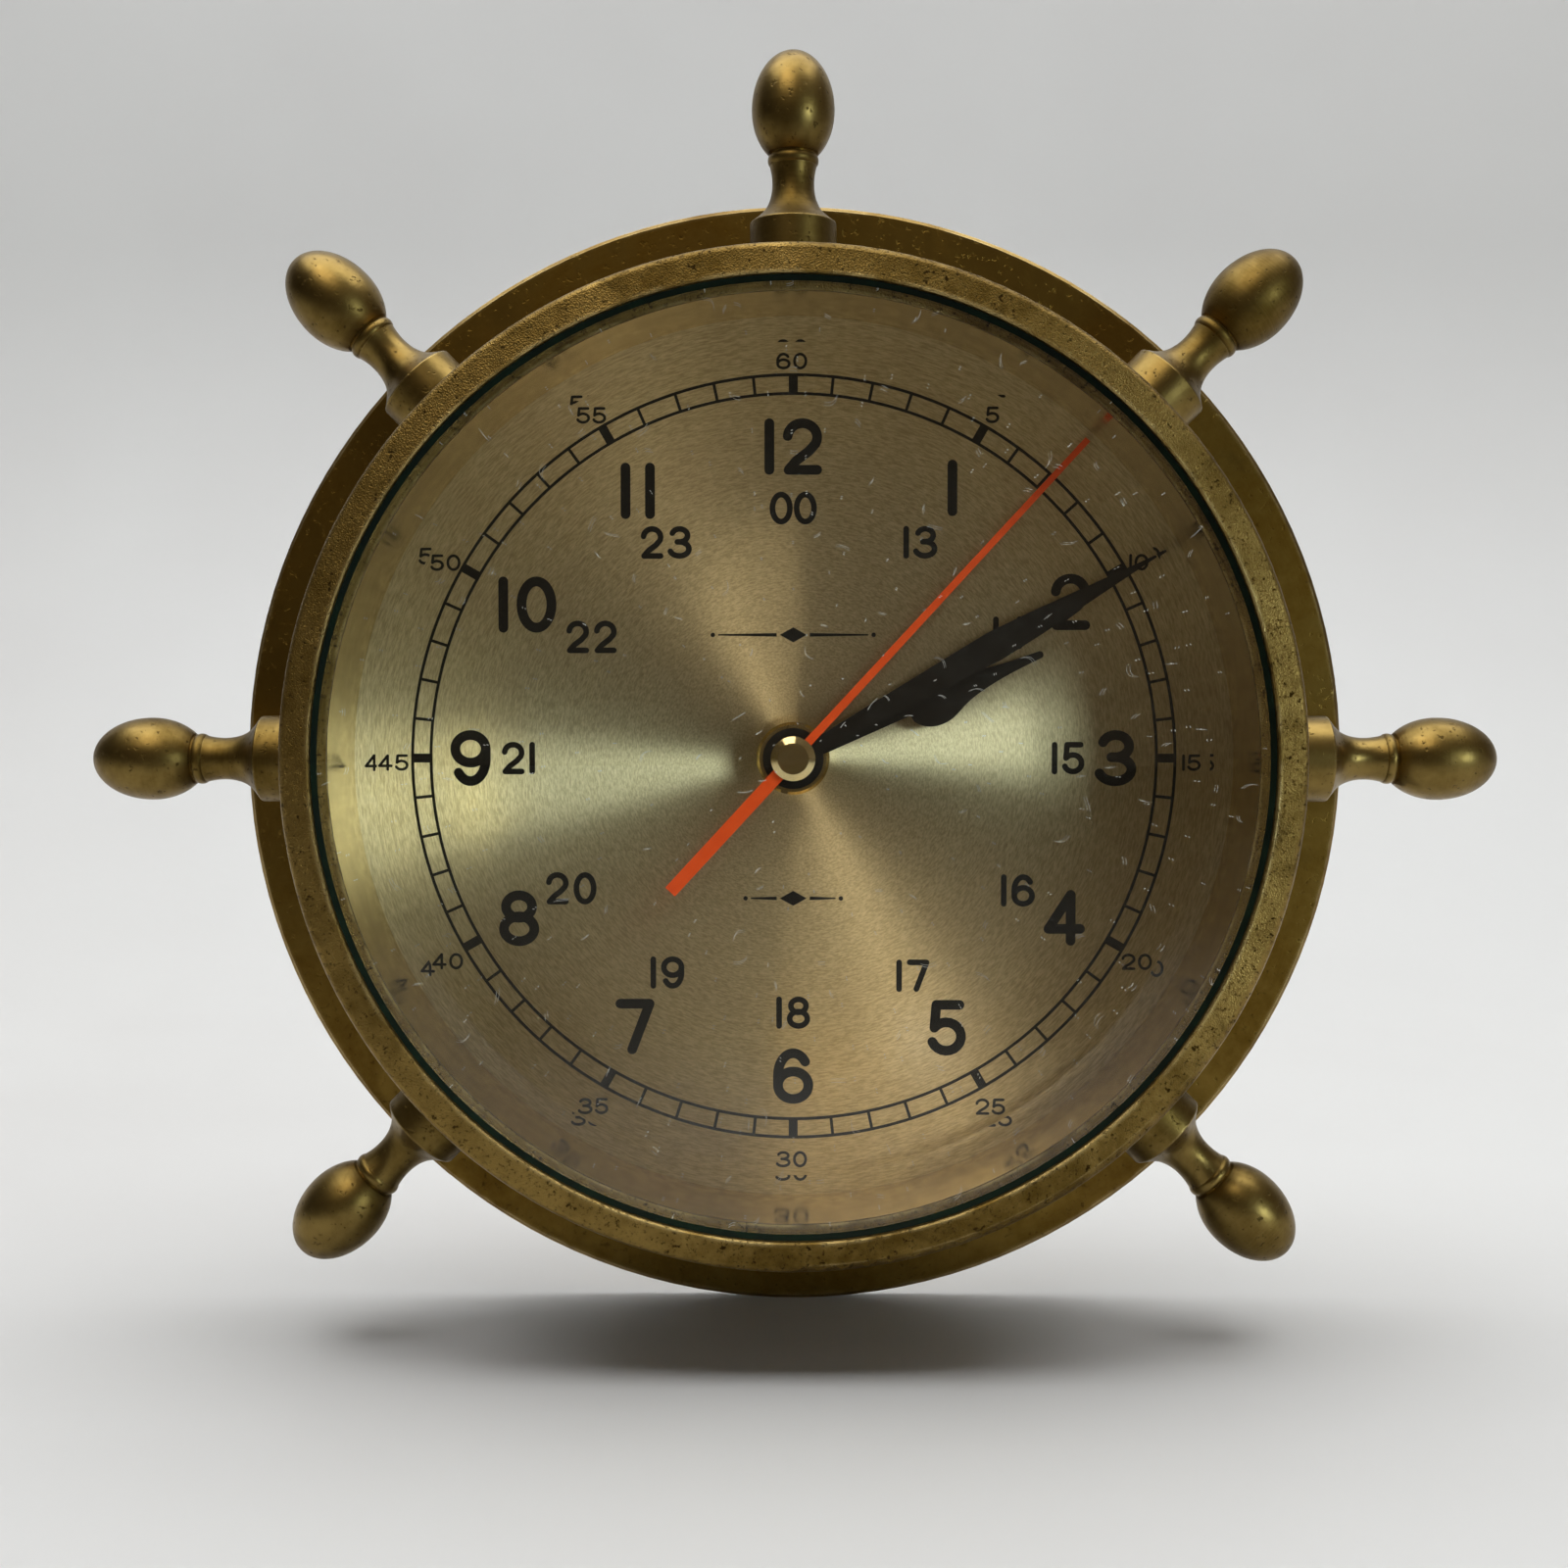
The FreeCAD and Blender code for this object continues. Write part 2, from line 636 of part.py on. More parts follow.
def driver_chip():
    """The epoxy blob over the bare driver chip, a shallow cap of a sphere."""
    at = (BOARD_X, 5.0)
    height = 1.1
    radius = 3.2
    dome_r = (radius ** 2 + height ** 2) / (2 * height)
    low = BOARD_H[1] + FACE_GAP
    dome = Part.makeSphere(dome_r, FreeCAD.Vector(*at, low + height - dome_r))
    return dome.common(disc(radius + OVER, low, low + height + OVER, at))


def quartz_crystal():
    """The watch crystal's can, lying along Y with the narrower foot of its leads."""
    height = 6.2
    can_y = 10.5
    along_y = FreeCAD.Vector(0, 1, 0)
    can = Part.makeCylinder(1.05, 6.2, FreeCAD.Vector(BOARD_X, can_y, height), along_y)
    foot = Part.makeCylinder(0.8, 0.5, FreeCAD.Vector(BOARD_X, can_y - 0.4, height), along_y)
    return can.fuse(foot)


def stator():
    """A one-piece soft-iron stator: a pole band round the rotor and two legs to the coil."""
    low, high = STATOR_H
    base, band, neck, end = STATOR_LOW_Y, STATOR_HIGH_Y, 12.6, STATOR_LEG_Y
    outline = [
        (10.6, base), (23.2, base), (23.2, band), (26.2, band), (26.2, end), (23.4, end), (23.4, neck),
        (20.8, neck), (20.8, band), (13.0, band), (13.0, neck), (8.8, neck), (8.8, end), (6.0, end),
        (6.0, band), (10.6, band),
    ]
    through = (low - OVER, high + OVER)
    body = plate(outline, low, high).cut(disc(STATOR_BORE_R, *through, at=ROTOR))
    for y in (base, band):
        body = body.cut(disc(0.7, *through, at=(ROTOR[0], y)))
    for at in STATOR_POSTS:
        body = body.cut(small_screw_hole(*through, at, RUNNING))
    return body


def coil_core():
    half_width = 1.2
    half_height = 0.45
    y = (COIL_Y - half_width, COIL_Y + half_width)
    body = block((6.0, 26.2), y, (COIL_H - half_height, COIL_H + half_height))
    for at in STATOR_POSTS:
        body = body.cut(small_screw_hole(COIL_H - OVER, COIL_H + OVER, at, RUNNING))
    return body


def coil_bobbin():
    """A barrel with a flange at each end and a square window for the core."""
    barrel_r = 1.7
    flange_r = 3.2
    flange_t = 0.8
    start, end = COIL_X
    body = rod_x(barrel_r, COIL_X, COIL_Y, COIL_H)
    for x in ((start - flange_t, start), (end, end + flange_t)):
        body = body.fuse(rod_x(flange_r, x, COIL_Y, COIL_H))
    window = block((start - 2, end + 2), (COIL_Y - 1.25, COIL_Y + 1.25), (COIL_H - 0.5, COIL_H + 0.5))
    return body.cut(window)


def coil_winding():
    outer = 2.9
    inner = 1.75
    x = (COIL_X[0] + FACE_GAP, COIL_X[1] - FACE_GAP)
    return rod_x(outer, x, COIL_Y, COIL_H).cut(rod_x(inner, (x[0] - OVER, x[1] + OVER), COIL_Y, COIL_H))


def stator_screws():
    low = COIL_H + 0.48
    head_t = 0.6
    return Part.Compound([cheese_screw((low, low + head_t), STATOR_SCREW_END, at) for at in STATOR_POSTS])


def contact(side, strip_y, tab_x, tab_y):
    """A contact strip on the housing's wall: strip, pad and bump for the cell, tab for the board."""
    tab_t = 0.3
    sides = (side * STRIP_IN, side * STRIP_OUT)
    x = (min(sides), max(sides))
    tab = (min(side * STRIP_OUT, tab_x), max(side * STRIP_OUT, tab_x))
    strip = block(x, strip_y, STRIP_H)
    pad = block(x, (-23.5, -15.5), (5.5, 14.5))
    foot = block(tab, tab_y, (STRIP_H[0], STRIP_H[0] + tab_t))
    bump_start = side * (STRIP_IN + 0.1)
    bump_length = STRIP_IN + 0.1 - BATTERY_X - FACE_GAP
    base = FreeCAD.Vector(bump_start, BATTERY_Y, BATTERY_H)
    bump = Part.makeCone(3.2, 1.4, bump_length, base, FreeCAD.Vector(-side, 0, 0))
    return strip.fuse(pad).fuse(foot).fuse(bump)


def contact_negative():
    return contact(-1, (-23, -5), -24.0, (-7.5, -5))


def contact_positive():
    return contact(1, (-23, 20.6), 24.4, (19.0, 20.6))


def battery():
    """A size AA cell lying along X, its button at the +X end."""
    button = 1.0
    button_r = 2.7
    edge_r = 0.6
    body = rod_x(BATTERY_R, (-BATTERY_X, BATTERY_X - button), BATTERY_Y, BATTERY_H)
    rims = [e for e in body.Edges if abs(e.Length - 2 * math.pi * BATTERY_R) < 0.01]
    body = body.makeFillet(edge_r, rims)
    return body.fuse(rod_x(button_r, (BATTERY_X - button - 0.1, BATTERY_X), BATTERY_Y, BATTERY_H))


# ---- train ----
SECONDS_PHASE = 0.0
INTERMEDIATE_PHASE = mesh_phase(INTERMEDIATE_ANGLE, SECONDS_PHASE, 60, 10)
ROTOR_PHASE = mesh_phase(ROTOR_ANGLE, 0.0, 50, 10)
THIRD_PHASE = mesh_phase(THIRD_ANGLE, SECONDS_PHASE, 8, 60)
CENTRE_PHASE = mesh_phase(THIRD_ANGLE + math.pi, 0.0, 8, 64)
MOTION_PHASE = mesh_phase(MOTION_ANGLE, 0.0, 16, 48)
HOUR_PHASE = mesh_phase(MOTION_ANGLE + math.pi, 0.0, 12, 48)
SETTING_PHASE = mesh_phase(MOTION_ANGLE, MOTION_PHASE, 48, 12)


def wheel(teeth, module, low, phase, at=CENTRE):
    """A plain wheel, one wheel thickness tall."""
    return gear_blank(teeth, module, low, low + WHEEL_T, phase, at)


def bored(shape, radius, at=CENTRE):
    """The shape with a hole of that radius right through it."""
    return shape.cut(disc(radius, 0, BEZEL_FACE, at))


def arbor(at):
    return disc(ARBOR_R, PIVOT_END, BRIDGE_FRONT, at)


def rotor_pinion():
    return gear_blank(10, MODULE, *ROTOR_PINION_H, ROTOR_PHASE, ROTOR).fuse(arbor(ROTOR))


def rotor_magnet():
    return ring(ROTOR_MAGNET_R, ARBOR_R + PRESS_ROOM, *ROTOR_MAGNET_H, ROTOR)


def intermediate_wheel():
    """Wheel of 50 and pinion of 10, moulded on one arbor."""
    top = INTERMEDIATE_LOW + WHEEL_T
    body = wheel(50, MODULE, INTERMEDIATE_LOW, 0.0, INTERMEDIATE)
    pinion = gear_blank(10, MODULE, top, INTERMEDIATE_TOP, INTERMEDIATE_PHASE, INTERMEDIATE)
    return body.fuse(pinion).fuse(arbor(INTERMEDIATE))


def seconds_wheel():
    """Wheel of 60 and pinion of 8, pressed on the seconds arbor."""
    pinion = gear_blank(8, THIRD_MODULE, SECONDS_PINION_LOW, SECONDS_WHEEL_LOW, SECONDS_PHASE)
    body = wheel(60, MODULE, SECONDS_WHEEL_LOW, SECONDS_PHASE).fuse(pinion)
    return bored(body, SECONDS_ARBOR_R + PRESS_ROOM)


def seconds_arbor():
    return disc(SECONDS_ARBOR_R, PIVOT_END, SECONDS_ARBOR_TOP)


def third_wheel():
    """Wheel of 60 and pinion of 8, moulded on one arbor."""
    body = wheel(60, THIRD_MODULE, THIRD_LOW, THIRD_PHASE, THIRD)
    pinion = gear_blank(8, MODULE, THIRD_LOW + WHEEL_T, THIRD_TOP, 0.0, THIRD)
    return body.fuse(pinion).fuse(arbor(THIRD))


def centre_wheel():
    """Wheel of 64 that drives the minute tube through a friction washer."""
    hub = disc(CENTRE_HUB_R, CENTRE_HUB_LOW, CENTRE_LOW + WHEEL_T)
    return bored(wheel(64, MODULE, CENTRE_LOW, CENTRE_PHASE).fuse(hub), MINUTE_TUBE_R + RUNNING)


def clutch_washer():
    return ring(CLUTCH_R, MINUTE_TUBE_R + PRESS_ROOM, *CLUTCH_H)


def minute_tube():
    """The minute tube with its cannon pinion of 16 teeth."""
    cannon = gear_blank(16, MOTION_MODULE, *CANNON_H)
    return bored(disc(MINUTE_TUBE_R, *MINUTE_TUBE_H).fuse(cannon), SECONDS_ARBOR_R + RUNNING)


def motion_wheel():
    """Wheel of 48 and pinion of 12 that turn on a post of the front case."""
    pinion = gear_blank(12, HOUR_MODULE, MOTION_LOW + WHEEL_T, MOTION_TOP, 0.0, MOTION)
    body = wheel(48, MOTION_MODULE, MOTION_LOW, MOTION_PHASE, MOTION).fuse(pinion)
    return bored(body, MOTION_POST_R + RUNNING, MOTION)


def hour_wheel():
    """Wheel of 48 on the hour tube."""
    body = wheel(48, HOUR_MODULE, HOUR_LOW, HOUR_PHASE).fuse(disc(HOUR_TUBE_R, *HOUR_TUBE_H))
    return bored(body, MINUTE_TUBE_R + RUNNING)


def setting_arbor():
    low, high = SETTING_ARBOR_H
    pivot = disc(SETTING_PIVOT_R, high - OVER, FRONT_INSIDE + 0.5, SETTING)
    pinion = gear_blank(12, MOTION_MODULE, *SETTING_PINION_H, SETTING_PHASE, SETTING)
    return disc(SETTING_ARBOR_R, low, high, SETTING).fuse(pivot).fuse(pinion)


def setting_knob():
    """The fluted knob at the back that sets the hands."""
    low, high = SETTING_KNOB_H
    flute_r = 0.45
    body = disc(SETTING_KNOB_R, low, high, SETTING)
    body = body.cut(disc(SETTING_ARBOR_R + PRESS_ROOM, SETTING_ARBOR_H[0], high + OVER, SETTING))
    for k in range(FLUTES):
        at = along(SETTING, SETTING_KNOB_R + flute_r / 3, 2 * math.pi * k / FLUTES)
        body = body.cut(disc(flute_r, low - OVER, high + OVER, at))
    return body


# ---- hands ----
def clockwise(shape, angle):
    """Turn a hand drawn pointing at 12 clockwise, as seen from the front."""
    turned_shape = shape.copy()
    turned_shape.rotate(ORIGIN, Z, -angle)
    return turned_shape


def mirrored_outline(right):
    """A closed outline from the (half width, distance) points of its right side."""
    return right + [(-w, d) for w, d in reversed(right) if w > 0]


def hour_leaf(low):
    """The spade-shaped leaf: a splined side, its mirror image and a rounded tip."""
    half_base = 2.6
    half_tip = 0.7
    right = [
        (half_base, HOUR_LEAF_START), (4.3, 26.6), (5.2, 29.6), (4.9, 32.2), (3.4, 35.6), (2.1, 40.0),
        (1.2, 46.0), (half_tip, HOUR_LEAF_END),
    ]
    spline = Part.BSplineCurve()
    spline.interpolate([FreeCAD.Vector(w, d, low) for w, d in right])
    side = spline.toShape()
    other = side.mirror(ORIGIN, FreeCAD.Vector(1, 0, 0))
    tip_points = ((half_tip, HOUR_LEAF_END), (0, HOUR_TIP), (-half_tip, HOUR_LEAF_END))
    tip = Part.Arc(*[FreeCAD.Vector(x, y, low) for x, y in tip_points]).toShape()
    base = line((-half_base, HOUR_LEAF_START, low), (half_base, HOUR_LEAF_START, low))
    return Part.Face(Part.Wire([base, side, tip, other])).extrude(Z * HAND_T)


def hour_hand():
    low = HOUR_HAND_H
    high = low + HAND_T
    sleeve_r = 3.5
    shank = mirrored_outline([(1.7, 0), (1.2, HOUR_LEAF_START - 0.2), (2.6, HOUR_LEAF_START)])
    body = plate(shank, low, high).fuse(hour_leaf(low)).fuse(disc(HOUR_BOSS_R, low, high))
    body = body.fuse(disc(sleeve_r, low - 0.4, low))
    return clockwise(bored(body, HOUR_TUBE_R + PRESS_ROOM), HOUR_ANGLE)


def minute_hand():
    low = MINUTE_HAND_H
    high = low + HAND_T
    sleeve_r = 3.0
    lance = mirrored_outline([
        (1.35, 0), (1.45, 8), (3.0, 45.0), (2.5, 54.0), (0.25, MINUTE_TIP - 0.2), (0, MINUTE_TIP),
    ])
    body = plate(lance, low, high).fuse(disc(MINUTE_BOSS_R, low, high))
    body = body.fuse(disc(sleeve_r, low - 0.5, low))
    return clockwise(bored(body, MINUTE_TUBE_R + PRESS_ROOM), MINUTE_ANGLE)


def minute_nut():
    low = MINUTE_HAND_H + HAND_T + TOUCH_GAP
    return ring(MINUTE_NUT_R, MINUTE_TUBE_R + PRESS_ROOM, low, MINUTE_NUT_TOP)


def second_hand():
    """A slim pointer with a wider square-ended tail."""
    low = SECOND_HAND_H
    high = low + SECOND_HAND_T
    half_tip = 0.6
    half_root = 0.85
    half_tail = 1.3
    blade = [
        (-half_tip, SECOND_TIP), (half_tip, SECOND_TIP), (half_root, 0), (half_tail, 0),
        (half_tail, -SECOND_TAIL), (-half_tail, -SECOND_TAIL), (-half_tail, 0), (-half_root, 0),
    ]
    body = plate(blade, low, high).fuse(disc(SECOND_BOSS_R, low, high))
    return clockwise(bored(body, SECONDS_ARBOR_R + PRESS_ROOM), SECOND_ANGLE)


def second_hand_cap():
    """The bright button over the second hand's boss, with a broad polished chamfer."""
    low = SECOND_HAND_H + SECOND_HAND_T + TOUCH_GAP
    shoulder = CAP_TOP - CAP_CHAMFER
    body = turned([(0, low), (CAP_R, low), (CAP_R, shoulder), (CAP_FLAT_R, CAP_TOP), (0, CAP_TOP)])
    return body.cut(disc(SECONDS_ARBOR_R + PRESS_ROOM, low - OVER, SECONDS_ARBOR_TOP + 0.1))


# ---- write every piece ----
CASE_PIECES = [
    back_flange, flange_screws, case_drum, rehaut_ring, bezel, glass, glass_sealant, dial_plate,
    handle_studs,
]
MOVEMENT_PIECES = [
    movement_front_case, movement_back_cover, centre_bush, dial_washer, fixing_nut, train_bridge,
    bridge_screws, circuit_board, board_screws, driver_chip, quartz_crystal, stator, coil_core,
    coil_bobbin, coil_winding, stator_screws, contact_negative, contact_positive, battery,
]
TRAIN_PIECES = [
    rotor_pinion, rotor_magnet, intermediate_wheel, seconds_wheel, seconds_arbor, third_wheel,
    centre_wheel, clutch_washer, minute_tube, motion_wheel, hour_wheel, setting_arbor, setting_knob,
]
HAND_PIECES = [hour_hand, minute_hand, minute_nut, second_hand, second_hand_cap]

for build in CASE_PIECES + MOVEMENT_PIECES + TRAIN_PIECES + HAND_PIECES:
    save(build.__name__, build())

turned_handle = handle()
for node, handle_angle in HANDLE_ANGLES.items():
    save(node, placed_handle(turned_handle, handle_angle))
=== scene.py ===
import json
import math

import bmesh
import bpy
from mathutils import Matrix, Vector
from mathutils.geometry import delaunay_2d_cdt


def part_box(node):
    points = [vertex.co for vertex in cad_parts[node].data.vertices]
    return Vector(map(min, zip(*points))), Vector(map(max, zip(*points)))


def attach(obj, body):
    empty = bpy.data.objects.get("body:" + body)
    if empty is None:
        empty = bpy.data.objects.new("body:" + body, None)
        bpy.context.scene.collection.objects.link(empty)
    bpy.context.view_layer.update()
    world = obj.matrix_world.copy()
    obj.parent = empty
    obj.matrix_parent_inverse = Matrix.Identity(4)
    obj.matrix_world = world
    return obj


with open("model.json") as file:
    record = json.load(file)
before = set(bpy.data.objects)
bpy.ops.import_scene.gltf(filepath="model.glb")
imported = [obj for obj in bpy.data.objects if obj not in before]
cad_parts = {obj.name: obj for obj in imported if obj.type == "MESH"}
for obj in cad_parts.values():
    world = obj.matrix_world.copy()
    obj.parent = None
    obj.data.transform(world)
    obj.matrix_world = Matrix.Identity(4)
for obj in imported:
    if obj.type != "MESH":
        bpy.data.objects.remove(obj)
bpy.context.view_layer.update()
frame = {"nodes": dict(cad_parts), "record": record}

MM = 0.001
NODES = frame["nodes"]

# ---- places read from the frame, in metres ----
DIAL_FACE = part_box("dial_plate")[0].y
FLOOR_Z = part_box("back_flange")[0].z

# ---- dial print, in millimetres ----
PRINT_BODY = "clock_case"
INK = 0.03
BAR_INK = 0.8 * INK
TRACK_OUTER = 76.2
TRACK_INNER = 72.5
TRACK_LINE = 0.6
FIVE_MINUTE_BAR = 1.8
HOUR_HEIGHT = 11.2
DAY_HEIGHT = 6.5
MINUTE_HEIGHT = 3.3
MINUTE_RADIUS = 79.8
MINUTE_SHIFT = (-0.3, -0.9)
MINUTE_STRETCH = 1.2
UPPER_ORNAMENT = (24.6, 33.0)
LOWER_ORNAMENT = (-28.1, 20.0)
LOZENGE_HEIGHT = 3.0
LOZENGE_WIDTH = 5.4
ORNAMENT_DOT = 0.45
ORNAMENT_GAP = 0.6
ORNAMENT_LINE = (0.36, 0.14)
DOT_STROKE = 0.01
# The numerals' centres: distance from the middle and degrees clockwise from 12.
HOURS = {
    12: (62, 0), 1: (62.4, 30.5), 2: (63.4, 60.6), 3: (64.5, 90), 4: (63, 120.5), 5: (62.3, 150.3),
    6: (63.9, 180), 7: (62.6, 210.5), 8: (63.7, 239.7), 9: (64.6, 270), 10: (61.3, 300), 11: (61.6, 329.8),
}
DAY_HOURS = {
    "00": (49.8, 0), "13": (49.9, 30.5), "14": (50, 60), "15": (54.9, 90), "16": (52.2, 120.5),
    "17": (49.8, 151.2), "18": (51.1, 180), "19": (49.9, 210.4), "20": (51.6, 239.6), "21": (55, 270),
    "22": (47, 301), "23": (49.9, 329.5),
}

# ---- smoothness of the print's curves, and how it is filled ----
ARC_STEPS = 18
CAP_STEPS = 8
MITRE_LIMIT = 0.5
BAND_PARTS = 12
BAND_STEPS = 30
FILL_INSIDE = 1
FILL_TOLERANCE = 1e-5

# ---- brass tones ----
DARK = (0.030, 0.016, 0.003)
BROWN = (0.130, 0.069, 0.009)
BRASS = (0.240, 0.150, 0.031)
WORN = (0.55, 0.42, 0.18)
SATIN = (DARK, BROWN, BRASS, WORN)
SAND = (DARK, (0.095, 0.055, 0.009), (0.27, 0.178, 0.050), WORN)
TURNED = (DARK, (0.094, 0.057, 0.010), (0.235, 0.160, 0.048), WORN)
HANDLE_DEGREES = {
    "handle_top": 90, "handle_upper_right": 45, "handle_right": 0, "handle_lower_right": -45,
    "handle_lower_left": -135, "handle_left": 180, "handle_upper_left": 135,
}

# ---- stage and camera, in metres ----
PALE = (0.62, 0.62, 0.61)
STAGE_HALF_WIDTH = 6.0
STAGE_FRONT = -6.0
STAGE_TOP = 2.4
COVE_START = 0.33
COVE_RADIUS = 0.42
COVE_STEPS = 24
ROOM_COLOUR = (1.0, 0.76, 0.50)
ROOM_LEFT = 0.02
ROOM_RIGHT = 0.13
CAMERA_AT = (0.0009, -0.394, 0.0056)
CAMERA_AHEAD = (-0.00737, 1, -0.02895)
CAMERA_LENS_MM = 42.75
CAMERA_SENSOR_MM = 36
CAMERA_NEAR = 0.01


# ---- numerals drawn as round-ended strokes ----
def arc(cx, cy, rx, ry, start, end):
    """Points on an ellipse from one angle to another, in degrees, anticlockwise from +X."""
    points = []
    for k in range(ARC_STEPS + 1):
        turn = math.radians(start + (end - start) * k / ARC_STEPS)
        points.append((cx + rx * math.cos(turn), cy + ry * math.sin(turn)))
    return points


def oval(cx, cy, rx, ry):
    return [arc(cx, cy, rx, ry, 90, -90), arc(cx, cy, rx, ry, 90, 270)]


SIX = oval(0.5, 0.3, 0.5, 0.3) + [[(0, 0.3)] + arc(0.5, 0.52, 0.5, 0.48, 180, 38)]
NINE = [[(1 - u, 1 - v) for u, v in stroke] for stroke in SIX]
# Each digit's strokes lie in a unit box, and its width is a share of its height (none for a 1,
# which is as wide as its stroke).
DIGITS = {
    "0": (0.71, oval(0.5, 0.5, 0.5, 0.5)),
    "1": (None, [[(0.5, 0), (0.5, 1)]]),
    "2": (0.70, [
        arc(0.5, 0.7, 0.5, 0.3, 175, -28) + [(0.72, 0.40), (0.30, 0.2), (0.03, 0)],
        [(0.03, 0), (1, 0)],
    ]),
    "3": (0.72, [
        arc(0.48, 0.76, 0.44, 0.24, 160, -90) + [(0.34, 0.52)],
        [(0.34, 0.52)] + arc(0.46, 0.26, 0.54, 0.26, 90, -160),
    ]),
    "4": (0.74, [[(0.70, 0), (0.70, 1)], [(0.70, 1), (0, 0.26)], [(0, 0.26), (1, 0.26)]]),
    "5": (0.68, [
        [(0.94, 1), (0.12, 1)],
        [(0.12, 1), (0.052, 0.5)],
        arc(0.47, 0.31, 0.53, 0.31, 142, -158),
    ]),
    "6": (0.72, SIX),
    "7": (0.70, [[(0, 1), (1, 1)], [(1, 1), (0.40, 0)]]),
    "8": (0.72, oval(0.5, 0.755, 0.43, 0.245) + oval(0.5, 0.27, 0.5, 0.27)),
    "9": (0.72, NINE),
}
# Stroke widths and the gaps between digits, as shares of the height.
BOLD = 0.175
LIGHT = 0.165
DIGIT_GAP = 0.15
GAPS = {"11": 0.26, "00": 0.03}


def left_of(direction):
    return Vector((-direction.y, direction.x))


def ribbon(points, width):
    """The outline of a stroke, anticlockwise: a band of even width round a line, with round ends."""
    path = [Vector(p) for p in points]
    half = width / 2
    outline = []
    for way in (path, path[::-1]):
        for k, here in enumerate(way):
            before = (here - way[k - 1]).normalized() if k else None
            after = (way[k + 1] - here).normalized() if k < len(way) - 1 else None
            normal = left_of(((before or after) + (after or before)).normalized())
            reach = half / max(MITRE_LIMIT, normal.dot(left_of(after or before)))
            outline.append(here + normal * reach)
        end = way[-1]
        ahead = (way[-1] - way[-2]).normalized()
        for k in range(1, CAP_STEPS):
            turn = math.pi / 2 - math.pi * k / CAP_STEPS
            outline.append(end + (ahead * math.cos(turn) + left_of(ahead) * math.sin(turn)) * half)
    return outline[::-1]


def numeral_strokes(text, height, weight, centre, stretch=1.0):
    """Outlines of a number's strokes in millimetres, centred on a point of the dial."""
    widths = [weight if DIGITS[d][0] is None else DIGITS[d][0] * stretch for d in text]
    gap = GAPS.get(text, DIGIT_GAP)
    start = -(sum(widths) + gap * (len(text) - 1)) / 2
    outlines = []
    for digit, width in zip(text, widths):
        for stroke in DIGITS[digit][1]:
            line = []
            for u, v in stroke:
                x = start + weight / 2 + u * (width - weight)
                z = weight / 2 + v * (1 - weight) - 0.5
                line.append((centre[0] + x * height, centre[1] + z * height))
            outlines.append(ribbon(line, weight * height))
        start += width + gap
    return outlines


def clock_point(radius, degrees):
    """A point of the dial at a distance from its middle, at degrees clockwise from 12."""
    turn = math.radians(degrees)
    return (radius * math.sin(turn), radius * math.cos(turn))


def printed(name, groups, material, thickness=INK):
    """A piece of dial print: each group's overlapping outlines become one thin raised shape."""
    bm = bmesh.new()
    back = DIAL_FACE
    front = DIAL_FACE - thickness * MM
    for outlines in groups:
        points = [Vector(p) for outline in outlines for p in outline]
        faces = []
        first = 0
        for outline in outlines:
            faces.append(list(range(first, first + len(outline))))
            first += len(outline)
        filled = delaunay_2d_cdt(points, [], faces, FILL_INSIDE, FILL_TOLERANCE)
        flat, triangles, covered_by = filled[0], filled[2], filled[5]
        triangles = [t for t, covers in zip(triangles, covered_by) if covers]
        fronts = [bm.verts.new((p.x * MM, front, p.y * MM)) for p in flat]
        backs = [bm.verts.new((p.x * MM, back, p.y * MM)) for p in flat]
        edges = set()
        for triangle in triangles:
            bm.faces.new([fronts[k] for k in triangle])
            bm.faces.new([backs[k] for k in reversed(triangle)])
            edges.update(zip(triangle, triangle[1:] + triangle[:1]))
        for a, b in sorted(edges):
            if (b, a) not in edges:
                bm.faces.new([fronts[b], fronts[a], backs[a], backs[b]])
    bmesh.ops.delete(bm, geom=[v for v in bm.verts if not v.link_faces], context="VERTS")
    bmesh.ops.recalc_face_normals(bm, faces=bm.faces)
    made = new_object(name, bm, material)
    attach(made, PRINT_BODY)


def new_object(name, bm, material):
    mesh = bpy.data.meshes.new(name)
    bm.to_mesh(mesh)
    bm.free()
    mesh.materials.append(material)
    made = bpy.data.objects.new(name, mesh)
    bpy.context.scene.collection.objects.link(made)
    return made


def circle_band(radius, width):
    """A printed circle as overlapping arcs, so that no outline has a hole."""
    bands = []
    for part in range(BAND_PARTS):
        outer = []
        inner = []
        for k in range(BAND_STEPS + 1):
            degrees = 360 / BAND_PARTS * (part + k / BAND_STEPS)
            outer.append(clock_point(radius + width / 2, degrees))
            inner.append(clock_point(radius - width / 2, degrees))
        bands.append(inner + outer[::-1])
    return bands


def track_bar(degrees, width):
    """A bar that joins the track's two circles."""
    out = Vector(clock_point(1, degrees))
    side = -left_of(out) * width / 2
    low, high = out * TRACK_INNER, out * TRACK_OUTER
    return [tuple(corner) for corner in (low - side, low + side, high + side, high - side)]


def ornament(height, length):
    """A plain lozenge between two tapered lines that end in dots, where words would be."""
    half = length / 2
    tall = LOZENGE_HEIGHT / 2
    wide = LOZENGE_WIDTH / 2
    thick, thin = ORNAMENT_LINE
    line_start = wide + ORNAMENT_GAP
    line_end = half - 2 * ORNAMENT_DOT - ORNAMENT_GAP
    shapes = [[(-wide, height), (0, height - tall), (wide, height), (0, height + tall)]]
    for side in (-1, 1):
        line = [
            (side * line_start, height - thick), (side * line_end, height - thin),
            (side * line_end, height + thin), (side * line_start, height + thick),
        ]
        shapes.append(line[::side])
        dot_x = side * (half - ORNAMENT_DOT)
        dot = [(dot_x, height - DOT_STROKE), (dot_x, height + DOT_STROKE)]
        shapes.append(ribbon(dot, 2 * ORNAMENT_DOT))
    return shapes


